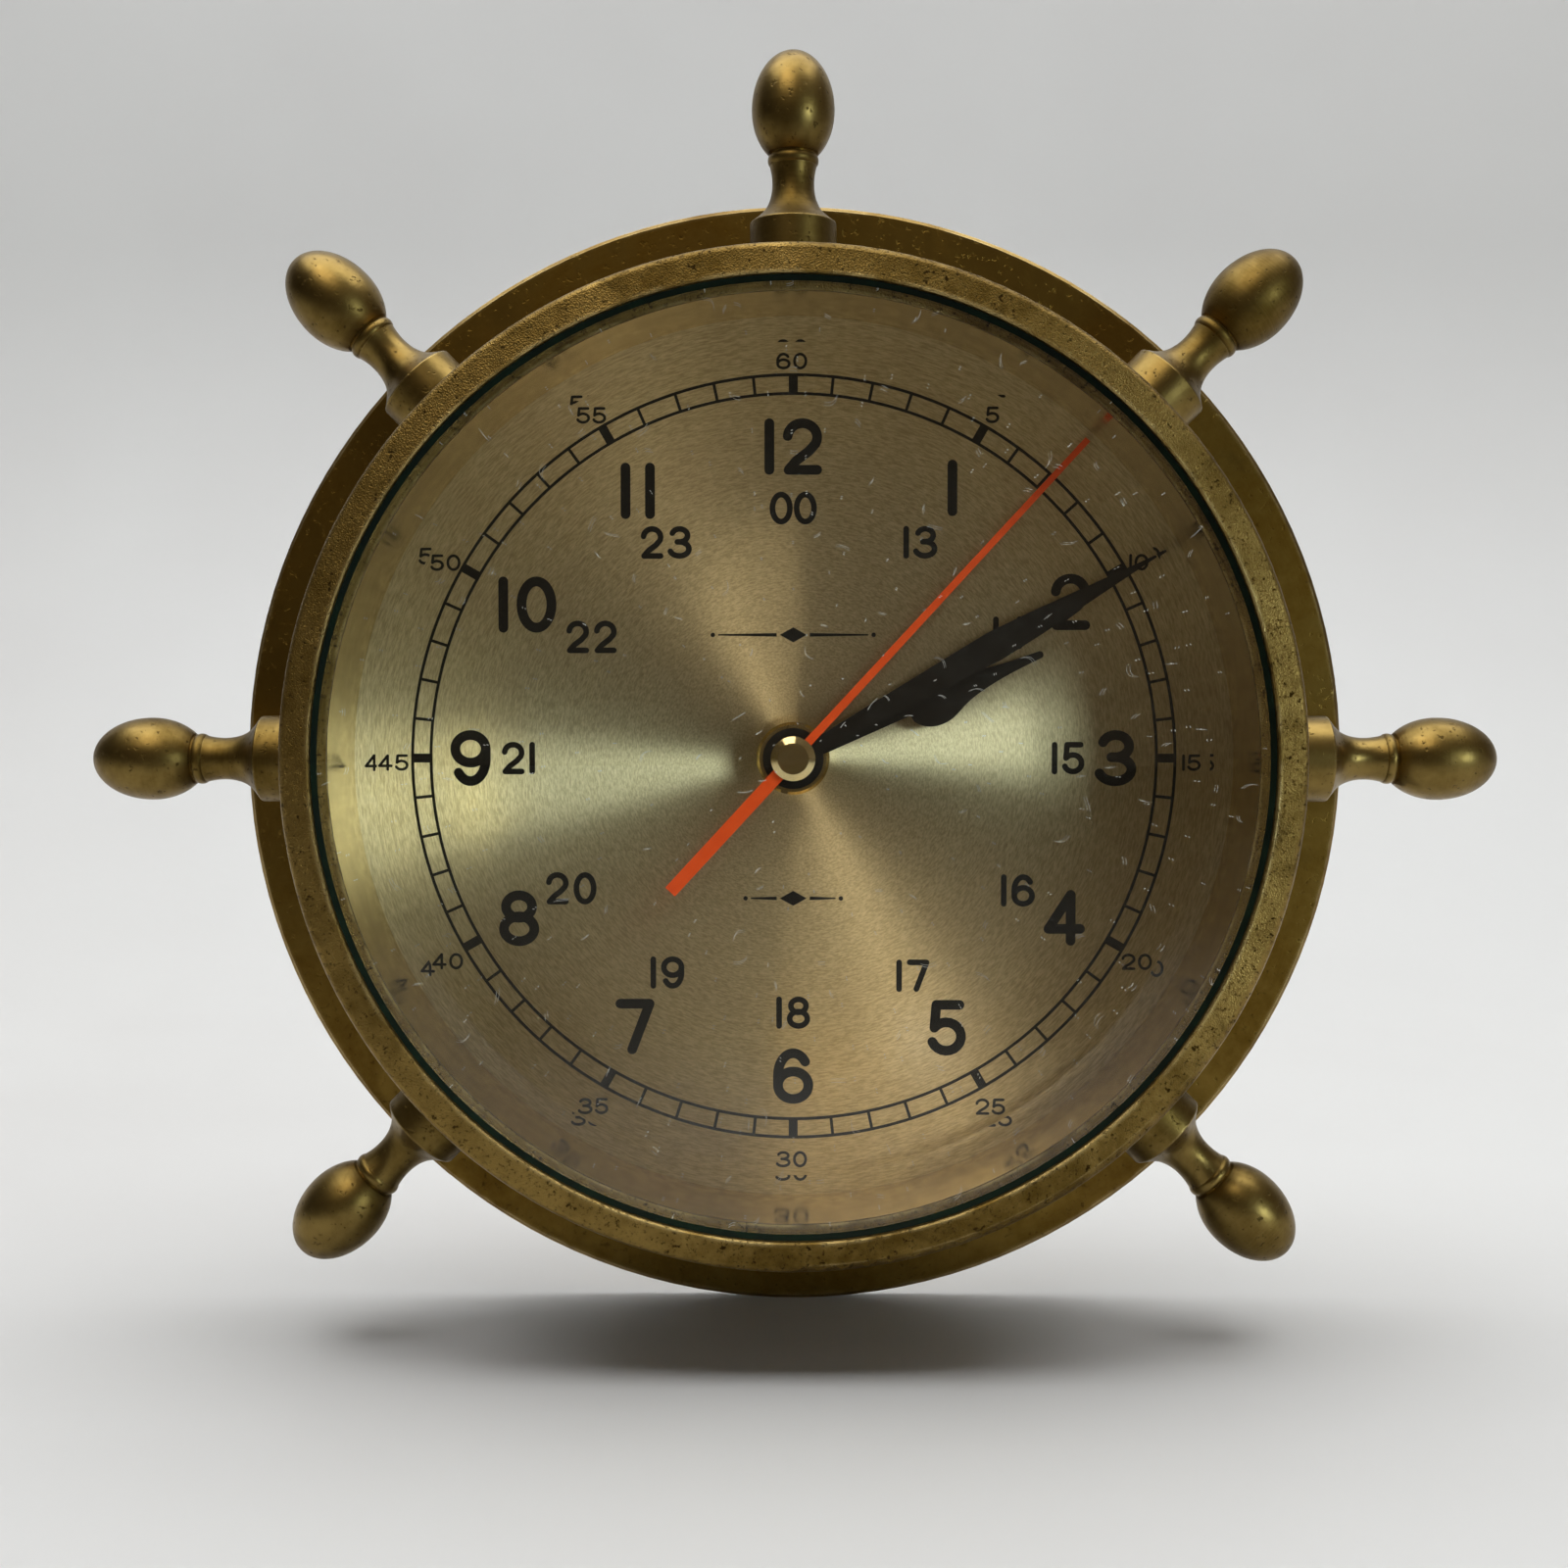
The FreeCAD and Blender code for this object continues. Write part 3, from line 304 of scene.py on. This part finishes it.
# ---- node helpers ----
class Nodes:
    """The node tree of a material or the world, with short ways to add and join nodes."""

    def __init__(self, owner, output="ShaderNodeOutputMaterial"):
        owner.use_nodes = True
        self.owner = owner
        self.tree = owner.node_tree
        self.tree.nodes.clear()
        self.out = self.add(output)

    def add(self, kind, settings=None, **inputs):
        """Add a node. Its inputs go by name, with _ for a space, or by number, as i0, i1 and so on."""
        node = self.tree.nodes.new(kind)
        for key, value in (settings or {}).items():
            setattr(node, key, value)
        for key, value in inputs.items():
            numbered = key[0] == "i" and key[1:].isdigit()
            self.put(node.inputs[int(key[1:]) if numbered else key.replace("_", " ")], value)
        return node

    def put(self, socket, value):
        """Set a socket: a link from a socket or a node's first output, or else a plain value."""
        if isinstance(value, bpy.types.Node):
            value = value.outputs[0]
        if isinstance(value, bpy.types.NodeSocket):
            self.tree.links.new(value, socket)
        else:
            socket.default_value = value

    def surface(self, shader):
        self.put(self.out.inputs["Surface"], shader)

    def math(self, operation, a, b=0.0, clamp=False):
        node = self.add("ShaderNodeMath", {"operation": operation, "use_clamp": clamp}, i0=a, i1=b)
        return node.outputs[0]

    def times(self, a, b):
        return self.math("MULTIPLY", a, b)

    def plus(self, a, b):
        return self.math("ADD", a, b)

    def vector(self, operation, a, b=(0, 0, 0)):
        node = self.add("ShaderNodeVectorMath", {"operation": operation}, i0=a, i1=b)
        return node.outputs["Value" if operation in ("LENGTH", "DOT_PRODUCT") else "Vector"]

    def rotate(self, place, axis, angle):
        turn = {"rotation_type": axis + "_AXIS"}
        return self.add("ShaderNodeVectorRotate", turn, Vector=place, Angle=angle).outputs[0]

    def noise(self, place, scale, detail=3.0, roughness=0.5, distortion=0.0):
        """Smooth noise from 0 to 1. The scale is in waves per metre."""
        node = self.add(
            "ShaderNodeTexNoise", None,
            Vector=place, Scale=scale, Detail=detail, Roughness=roughness, Distortion=distortion,
        )
        return node.outputs["Fac"]

    def remap(self, value, low, high, to_low=0.0, to_high=1.0):
        """Take low..high to to_low..to_high, with soft ends."""
        node = self.add(
            "ShaderNodeMapRange", {"interpolation_type": "SMOOTHSTEP"},
            i0=value, i1=low, i2=high, i3=to_low, i4=to_high,
        )
        return node.outputs[0]

    def mix(self, share, a, b):
        """Mix two colours."""
        node = self.add("ShaderNodeMix", {"data_type": "RGBA"})
        first, second = node.inputs[6], node.inputs[7]
        self.put(node.inputs[0], share)
        self.put(first, (*a, 1) if isinstance(a, tuple) else a)
        self.put(second, (*b, 1) if isinstance(b, tuple) else b)
        return node.outputs[2]

    def mix_shaders(self, share, a, b):
        return self.add("ShaderNodeMixShader", None, i0=share, i1=a, i2=b)

    def bump(self, height, strength, distance):
        node = self.add("ShaderNodeBump", None, Height=height, Strength=strength, Distance=distance)
        return node.outputs["Normal"]

    def place(self):
        return self.add("ShaderNodeTexCoord").outputs["Object"]

    def split(self, vector):
        return self.add("ShaderNodeSeparateXYZ", None, i0=vector).outputs[:]

    def join(self, x, y, z):
        return self.add("ShaderNodeCombineXYZ", None, i0=x, i1=y, i2=z).outputs[0]

    def ray(self, kind):
        """1 for rays of one kind, such as "Is Camera Ray", and 0 for the others."""
        return self.add("ShaderNodeLightPath").outputs[kind]

    def edge(self, radius):
        """1 on edges and 0 on faces, from how far a rounded normal leans from the true one."""
        rounded = self.add("ShaderNodeBevel", {"samples": 4}, Radius=radius).outputs[0]
        plain = self.add("ShaderNodeNewGeometry").outputs["Normal"]
        return self.remap(self.vector("DOT_PRODUCT", rounded, plain), 0.995, 0.86)

    def principled(self, **inputs):
        return self.add("ShaderNodeBsdfPrincipled", None, **inputs)


def new_material(name):
    return Nodes(bpy.data.materials.new(name))


def round_axis(n, place):
    """Coordinates for marks that run round the clock's axis: nearly the same all the way round."""
    along_share = 0.01
    x, _, z = n.split(place)
    flat = n.join(x, 0.0, z)
    heading_x, _, heading_z = n.split(n.vector("NORMALIZE", flat))
    return n.join(n.times(heading_x, along_share), n.times(heading_z, along_share), n.vector("LENGTH", flat))


def round_handle(degrees):
    """The same for marks that run round a handle, which points at these degrees from +X."""
    across_share = 0.02

    def marks_at(n, place):
        along, across, _ = n.split(n.rotate(place, "Y", math.radians(degrees)))
        return n.join(n.times(across, across_share), 0.0, along)
    return marks_at


# ---- materials ----
def aged_brass(name, marks_at, tones, speckle, turning, sand=0.0, rough=(0.30, 0.46), edge_radius=0.0012):
    """Aged brass: mottled patina, dark specks, turning marks, sand texture and worn bright edges."""
    n = new_material(name)
    place = n.place()
    dark, mid, light, worn = tones
    cloud = n.noise(place, 26, detail=6, roughness=0.62, distortion=0.5)
    fine = n.noise(place, 240, detail=5, roughness=0.6)
    patch = n.plus(n.times(cloud, 0.7), n.times(fine, 0.3))
    stain = n.remap(n.noise(place, 62, detail=7, roughness=0.7, distortion=1.2), 0.54, 0.74)
    spots = n.remap(n.noise(place, 820, roughness=0.55), 0.60, 0.72)
    lines = n.noise(marks_at(n, place), 2600, detail=2, roughness=0.6)
    rubbed = n.times(n.edge(edge_radius), n.remap(n.noise(place, 110, detail=4), 0.36, 0.58))

    colour = n.mix(n.remap(patch, 0.34, 0.62), mid, light)
    colour = n.mix(n.times(stain, 0.22 + 0.3 * speckle), colour, dark)
    colour = n.mix(n.times(spots, 0.25 + 0.6 * speckle), colour, dark)
    colour = n.mix(n.times(n.remap(lines, 0.35, 0.7), 0.16 * turning), colour, light)
    colour = n.mix(rubbed, colour, worn)

    gloss = n.remap(patch, 0.35, 0.65, rough[1], rough[0])
    gloss = n.plus(gloss, n.times(spots, 0.18))
    gloss = n.math("SUBTRACT", gloss, n.times(rubbed, 0.10), clamp=True)

    height = n.plus(n.times(lines, 0.35 * turning), n.times(n.noise(place, 900), 0.3))
    height = n.math("SUBTRACT", height, n.times(spots, 0.9))
    if sand:
        grains = n.add("ShaderNodeTexVoronoi", None, Vector=place, Scale=3000.0).outputs["Distance"]
        pits = n.remap(n.noise(place, 1500, roughness=0.6), 0.56, 0.68)
        height = n.plus(height, n.times(grains, 1.3 * sand))
        height = n.math("SUBTRACT", height, n.times(pits, 1.2 * sand))
        colour = n.mix(n.times(pits, 0.5 * sand), colour, dark)
    relief = n.bump(height, 0.55, 0.00008)
    n.surface(n.principled(Base_Color=colour, Metallic=1.0, Roughness=gloss, Normal=relief))
    return n.owner


def polished_brass():
    """Bright brass with a light haze and fine turning marks."""
    clean = (0.82, 0.66, 0.33)
    hazed = tuple(c * 0.62 for c in clean)
    n = new_material("polished_brass")
    place = n.place()
    lines = n.noise(round_axis(n, place), 3200, detail=2)
    painted_glow = n.noise(place, 90, detail=5, roughness=0.6)
    tone = n.mix(n.remap(painted_glow, 0.4, 0.7, 0.0, 0.35), clean, hazed)
    gloss = n.plus(n.times(n.remap(painted_glow, 0.35, 0.7), 0.10), 0.10)
    relief = n.bump(lines, 0.06, 0.00003)
    n.surface(n.principled(Base_Color=tone, Metallic=1.0, Roughness=gloss, Normal=relief))
    return n.owner


def dial_gold():
    """Circular-brushed gold: grooves run round the axis, so light spreads along the radius."""
    n = new_material("dial_gold")
    place = n.place()
    lines_at = round_axis(n, place)
    long_lines = n.noise(lines_at, 3000, roughness=0.7)
    short_lines = n.noise(n.vector("MULTIPLY", lines_at, (1.2, 1.2, 1.0)), 3400, roughness=0.65)
    lines = n.plus(n.times(long_lines, 0.55), n.times(short_lines, 0.45))
    painted_glow = n.noise(place, 34)
    gold = n.mix(n.remap(lines, 0.36, 0.64), (0.45, 0.350, 0.190), (0.71, 0.580, 0.330))
    gold = n.mix(n.remap(painted_glow, 0.45, 0.65, 0.0, 0.16), gold, (0.50, 0.36, 0.20))
    tangent = n.add("ShaderNodeTangent", {"direction_type": "RADIAL", "axis": "Y"}).outputs[0]
    n.surface(n.principled(
        Base_Color=gold, Metallic=1.0, Roughness=n.remap(lines, 0.35, 0.65, 0.36, 0.43),
        Anisotropic=1.0, Anisotropic_Rotation=0.25, Tangent=tangent,
        Normal=n.bump(lines, 0.10, 0.00002), Coat_Weight=0.25, Coat_Roughness=0.12,
    ))
    return n.owner


def glass_mark(n, flat, cells, length, width):
    """Short bent marks, one in some cells of a grid of cells per metre. Sizes are in metres."""
    cell = n.add("ShaderNodeTexVoronoi", {"voronoi_dimensions": "2D"}, Vector=flat, Scale=cells)
    local = n.vector("SUBTRACT", flat, cell.outputs["Position"])
    heading, bow, chance = n.add("ShaderNodeSeparateColor", None, i0=cell.outputs["Color"]).outputs[:]
    along, across, _ = n.split(n.rotate(local, "Z", n.times(heading, 2 * math.pi)))
    bend = n.times(n.times(along, along), n.times(n.math("SUBTRACT", bow, 0.5), 900.0))
    off_line = n.math("ABSOLUTE", n.plus(across, bend))
    on_line = n.remap(off_line, width * 0.5, width, 1.0, 0.0)
    in_length = n.remap(n.math("ABSOLUTE", along), length * 0.4, length * 0.5, 1.0, 0.0)
    return n.times(n.times(on_line, in_length), n.math("GREATER_THAN", chance, 0.42))


def clear_glass():
    """Clear glass with a green tint, fine scratches and lint. Rays from lamps pass straight through."""
    n = new_material("clear_glass")
    x, _, z = n.split(n.place())
    flat = n.join(x, z, 0.0)
    scratches = glass_mark(n, flat, 95.0, 0.0015, 0.00005)
    hairs = glass_mark(n, flat, 60.0, 0.0030, 0.00004)
    specks = glass_mark(n, flat, 170.0, 0.0004, 0.00009)
    marks = n.math("MAXIMUM", n.math("MAXIMUM", scratches, hairs), specks)
    glass = n.principled(Base_Color=(0.985, 0.996, 0.990, 1), Roughness=0.0, IOR=1.5, Transmission_Weight=1.0)
    lint = n.principled(Base_Color=(0.85, 0.84, 0.78, 1), Roughness=0.7)
    dusty = n.mix_shaders(n.times(marks, 0.65), glass, lint)
    clear = n.add("ShaderNodeBsdfTransparent", None, Color=(0.96, 0.975, 0.968, 1))
    n.surface(n.mix_shaders(n.ray("Is Shadow Ray"), dusty, clear))
    return n.owner


def painted(name, colour, rough, wear, flecks=0.3):
    """Thin satin paint on sheet metal, with faint brushing and a few rubbed flecks."""
    lighter = tuple(min(1.0, c * 1.7 + 0.004) for c in colour)
    n = new_material(name)
    place = n.place()
    cloud = n.noise(place, 320, detail=4)
    specks = n.remap(n.noise(place, 2600, detail=2), 0.68, 0.74)
    tone = n.mix(n.remap(cloud, 0.35, 0.7, 0.0, flecks), colour, lighter)
    tone = n.mix(n.times(specks, wear), tone, (0.30, 0.24, 0.14))
    gloss = n.remap(cloud, 0.3, 0.7, rough, rough + 0.14)
    grain = n.bump(n.noise(place, 3000, detail=2), 0.25, 0.00003)
    n.surface(n.principled(Base_Color=tone, Roughness=gloss, Normal=grain, Specular_IOR_Level=0.2))
    return n.owner


def moulded(name, colour, rough):
    """Moulded plastic or rubber with a fine spark-eroded grain."""
    darker = tuple(c * 0.78 for c in colour)
    n = new_material(name)
    place = n.place()
    tone = n.mix(n.remap(n.noise(place, 75, detail=4), 0.35, 0.7, 0.0, 0.5), colour, darker)
    gloss = n.remap(n.noise(place, 500), 0.3, 0.7, rough - 0.06, rough + 0.08)
    grain = n.bump(n.noise(place, 4200), 0.5, 0.00004)
    n.surface(n.principled(Base_Color=tone, Roughness=gloss, Normal=grain))
    return n.owner


def sealing_compound():
    """Dull, dark green sealing compound with a lumpy surface."""
    n = new_material("sealant")
    place = n.place()
    cloud = n.noise(place, 240, detail=4)
    tone = n.mix(n.remap(cloud, 0.35, 0.7), (0.0015, 0.006, 0.0025), (0.005, 0.014, 0.007))
    gloss = n.remap(cloud, 0.3, 0.7, 0.6, 0.8)
    lumps = n.bump(n.noise(place, 1600), 0.5, 0.0001)
    n.surface(n.principled(Base_Color=tone, Roughness=gloss, Normal=lumps, Specular_IOR_Level=0.1))
    return n.owner


def bare_metal(name, colour, rough):
    """Brushed bare metal."""
    darker = tuple(c * 0.75 for c in colour)
    n = new_material(name)
    brushed = n.noise(n.vector("MULTIPLY", n.place(), (1.0, 0.2, 0.2)), 3600)
    tone = n.mix(n.remap(brushed, 0.35, 0.7, 0.0, 0.4), colour, darker)
    gloss = n.remap(brushed, 0.3, 0.7, rough, rough + 0.15)
    relief = n.bump(brushed, 0.2, 0.00003)
    n.surface(n.principled(Base_Color=tone, Metallic=1.0, Roughness=gloss, Normal=relief))
    return n.owner


def dial_ink():
    """Black printing ink, slightly uneven."""
    n = new_material("dial_ink")
    cloud = n.noise(n.place(), 900)
    tone = n.mix(n.remap(cloud, 0.35, 0.7), (0.0025, 0.0022, 0.0015), (0.007, 0.006, 0.004))
    gloss = n.remap(cloud, 0.3, 0.7, 0.38, 0.5)
    n.surface(n.principled(Base_Color=tone, Roughness=gloss, Specular_IOR_Level=0.25))
    return n.owner


def stage_paper():
    """Pale paper. To rays other than camera rays its front is painted dark, a painted shade that reflections
    and bounced light see, and far from the clock the camera sees a pale painted glow that fades into the
    background.
    """
    n = new_material("stage")
    place = n.place()
    x, y, _ = n.split(place)
    seen = n.ray("Is Camera Ray")
    tone = n.mix(n.remap(n.noise(place, 3.0), 0.35, 0.7), (0.80, 0.80, 0.79), (0.76, 0.755, 0.745))
    # painted shade: towards the front the floor turns dark brown for every ray but camera rays, so the glass
    # and brass reflect a dim room
    painted_shade_for_rays = n.mix(n.remap(y, -0.08, -0.5), tone, (0.12, 0.105, 0.085))
    fibres = n.bump(n.noise(place, 60, detail=4), 0.15, 0.001)
    paper = n.principled(Base_Color=n.mix(seen, painted_shade_for_rays, tone), Roughness=0.55, Normal=fibres)
    # painted glow: far from the clock the floor, as the camera sees it, becomes a pale emission that glows
    # like the background though it is no lamp
    far = n.math("MAXIMUM", n.remap(y, -0.22, -0.75), n.remap(n.math("ABSOLUTE", x), 0.7, 1.4))
    painted_glow = n.add("ShaderNodeEmission", None, Color=(*PALE, 1))
    n.surface(n.mix_shaders(n.times(far, seen), paper, painted_glow))
    return n.owner


# ---- materials on the CAD nodes, by the record's slots ----
materials = {
    "aged_brass": aged_brass("aged_brass", round_axis, SATIN, speckle=0.2, turning=0.6),
    "cast_face_brass": aged_brass(
        "cast_face_brass", round_axis, SAND, speckle=1.2, turning=0.2, sand=1.25, rough=(0.36, 0.52),
    ),
    "polished_brass": polished_brass(),
    "dial_gold": dial_gold(),
    "clear_glass": clear_glass(),
    "sealant": sealing_compound(),
    "black_hands": painted("black_hands", (0.007, 0.0058, 0.0040), rough=0.34, wear=0.06),
    "red_hand": painted("red_hand", (0.78, 0.075, 0.006), rough=0.42, wear=0.15, flecks=0.2),
    "steel": bare_metal("steel", (0.62, 0.62, 0.60), rough=0.22),
    "spring_steel": bare_metal("spring_steel", (0.68, 0.66, 0.60), rough=0.26),
    "black_plastic": moulded("black_plastic", (0.030, 0.030, 0.032), rough=0.48),
    "grey_plastic": moulded("grey_plastic", (0.42, 0.42, 0.41), rough=0.42),
    "white_plastic": moulded("white_plastic", (0.78, 0.77, 0.71), rough=0.30),
    "washer_rubber": moulded("washer_rubber", (0.030, 0.030, 0.030), rough=0.7),
    "board_laminate": moulded("board_laminate", (0.36, 0.22, 0.08), rough=0.5),
    "copper_wire": bare_metal("copper_wire", (0.72, 0.33, 0.16), rough=0.3),
    "ferrite": moulded("ferrite", (0.07, 0.07, 0.075), rough=0.5),
    "soft_iron": bare_metal("soft_iron", (0.50, 0.50, 0.51), rough=0.35),
    "epoxy": moulded("epoxy", (0.012, 0.012, 0.012), rough=0.2),
    "cell_jacket": painted("cell_jacket", (0.10, 0.105, 0.11), rough=0.3, wear=0.05),
}


def handle_brass(node):
    marks_at = round_handle(HANDLE_DEGREES[node])
    return aged_brass(
        node + "_brass", marks_at, TURNED, speckle=0.7, turning=1.0, rough=(0.30, 0.48), edge_radius=0.0006,
    )


slot_of = {part["node"]: part["material_slot"] for part in frame["record"]["subparts"]}
for node, thing in NODES.items():
    finish = handle_brass(node) if node in HANDLE_DEGREES else materials[slot_of[node]]
    if not thing.material_slots:
        thing.data.materials.append(finish)
    for material_slot in thing.material_slots:
        material_slot.material = finish

# ---- dial print ----
ink = dial_ink()
hours = [numeral_strokes(str(h), HOUR_HEIGHT, BOLD, clock_point(*HOURS[h])) for h in HOURS]
day_hours = [numeral_strokes(t, DAY_HEIGHT, BOLD, clock_point(*DAY_HOURS[t])) for t in DAY_HOURS]
minutes = []
for m in range(5, 65, 5):
    x, z = clock_point(MINUTE_RADIUS, 6 * m)
    middle = (x + MINUTE_SHIFT[0], z + MINUTE_SHIFT[1])
    minutes.append(numeral_strokes(str(m), MINUTE_HEIGHT, LIGHT, middle, MINUTE_STRETCH))
circles = [circle_band(TRACK_OUTER, TRACK_LINE), circle_band(TRACK_INNER, TRACK_LINE)]
bars = [[track_bar(6 * m, FIVE_MINUTE_BAR if m % 5 == 0 else TRACK_LINE)] for m in range(60)]
printed("print_hours", hours, ink)
printed("print_day_hours", day_hours, ink)
printed("print_minutes", minutes, ink)
printed("print_track_circles", circles, ink)
printed("print_ornaments", [ornament(*UPPER_ORNAMENT), ornament(*LOWER_ORNAMENT)], ink)
printed("print_track_bars", bars, ink, thickness=BAR_INK)


# ---- stage, light and camera ----
def backdrop():
    """A pale floor that sweeps up into a wall behind the clock."""
    section = [(STAGE_FRONT, FLOOR_Z), (COVE_START, FLOOR_Z)]
    for k in range(1, COVE_STEPS + 1):
        turn = math.pi / 2 * k / COVE_STEPS
        y = COVE_START + COVE_RADIUS * math.sin(turn)
        section.append((y, FLOOR_Z + COVE_RADIUS * (1 - math.cos(turn))))
    section.append((COVE_START + COVE_RADIUS, STAGE_TOP))
    bm = bmesh.new()
    rows = [[bm.verts.new((x, y, z)) for x in (-STAGE_HALF_WIDTH, STAGE_HALF_WIDTH)] for y, z in section]
    for low, high in zip(rows, rows[1:]):
        face = bm.faces.new((low[0], low[1], high[1], high[0]))
        face.smooth = True
    sheet = new_object("backdrop", bm, stage_paper())
    return sheet


def area_light(name, position, size, power, colour, spread=180, target=(0, 0, 0)):
    """A soft rectangular lamp that isn't seen itself. Its spread is in degrees."""
    light = bpy.data.lights.new(name, "AREA")
    light.shape = "RECTANGLE"
    light.size, light.size_y = size
    light.energy = power
    light.color = colour
    light.spread = math.radians(spread)
    lamp = bpy.data.objects.new(name, light)
    lamp.location = position
    lamp.rotation_mode = "QUATERNION"
    lamp.rotation_quaternion = (Vector(target) - Vector(position)).to_track_quat("-Z", "Y")
    lamp.visible_camera = False
    bpy.context.scene.collection.objects.link(lamp)
    return lamp


def light_only(lamp, state, *things):
    """Make a lamp light these things alone (INCLUDE), or everything but them (EXCLUDE)."""
    linked = bpy.data.collections.new(lamp.name + "_linked")
    for thing in things:
        linked.objects.link(thing)
    for entry in linked.collection_objects:
        entry.light_linking.link_state = state
    lamp.light_linking.receiver_collection = linked


def room():
    """A dim warm room, darker on the left. The camera itself sees a plain pale background."""
    world = bpy.data.worlds.new("studio")
    bpy.context.scene.world = world
    n = Nodes(world, "ShaderNodeOutputWorld")
    to_the_right = n.split(n.add("ShaderNodeTexCoord").outputs["Generated"])[0]
    strength = n.add(
        "ShaderNodeMapRange", None, i0=to_the_right, i1=-1.0, i2=1.0, i3=ROOM_LEFT, i4=ROOM_RIGHT,
    )
    painted_shade_for_rays = n.add("ShaderNodeBackground", None, Color=(*ROOM_COLOUR, 1), Strength=strength)
    pale = n.add("ShaderNodeBackground", None, Color=(*PALE, 1))
    n.surface(n.mix_shaders(n.ray("Is Camera Ray"), painted_shade_for_rays, pale))


sheet = backdrop()
dial = NODES["dial_plate"]
area_light("window", (1.02, -1.10, 0.08), size=(0.36, 0.34), power=0.86, colour=(0.72, 0.90, 1.0), spread=80)
pane = area_light(
    "pane", (1.01, -1.09, 0.05), size=(0.30, 0.09), power=0.13, colour=(0.84, 1.0, 0.92), spread=80,
)
streak = area_light(
    "streak", (0.045, -0.285, -0.100), size=(0.02, 0.02), power=0.0050, colour=(1.0, 0.90, 0.76), spread=60,
    target=(0, -0.02, 0),
)
overhead = area_light("overhead", (0.0, -0.1, 1.8), size=(2.8, 1.5), power=42, colour=(0.97, 0.985, 1.0))
ceiling = area_light("ceiling", (-0.30, -0.95, 1.25), size=(0.8, 0.8), power=6.5, colour=(1.0, 0.90, 0.74))
light_only(ceiling, "EXCLUDE", sheet, dial)
light_only(pane, "INCLUDE", dial)
light_only(streak, "INCLUDE", dial)
light_only(overhead, "EXCLUDE", dial)
room()

camera_data = bpy.data.cameras.new("camera")
camera_data.lens = CAMERA_LENS_MM
camera_data.sensor_width = CAMERA_SENSOR_MM
camera_data.clip_start = CAMERA_NEAR
camera = bpy.data.objects.new("camera", camera_data)
camera.location = CAMERA_AT
camera.rotation_mode = "QUATERNION"
camera.rotation_quaternion = Vector(CAMERA_AHEAD).to_track_quat("-Z", "Y")
bpy.context.scene.collection.objects.link(camera)
bpy.context.scene.camera = camera
bpy.context.scene.view_settings.view_transform = "Standard"
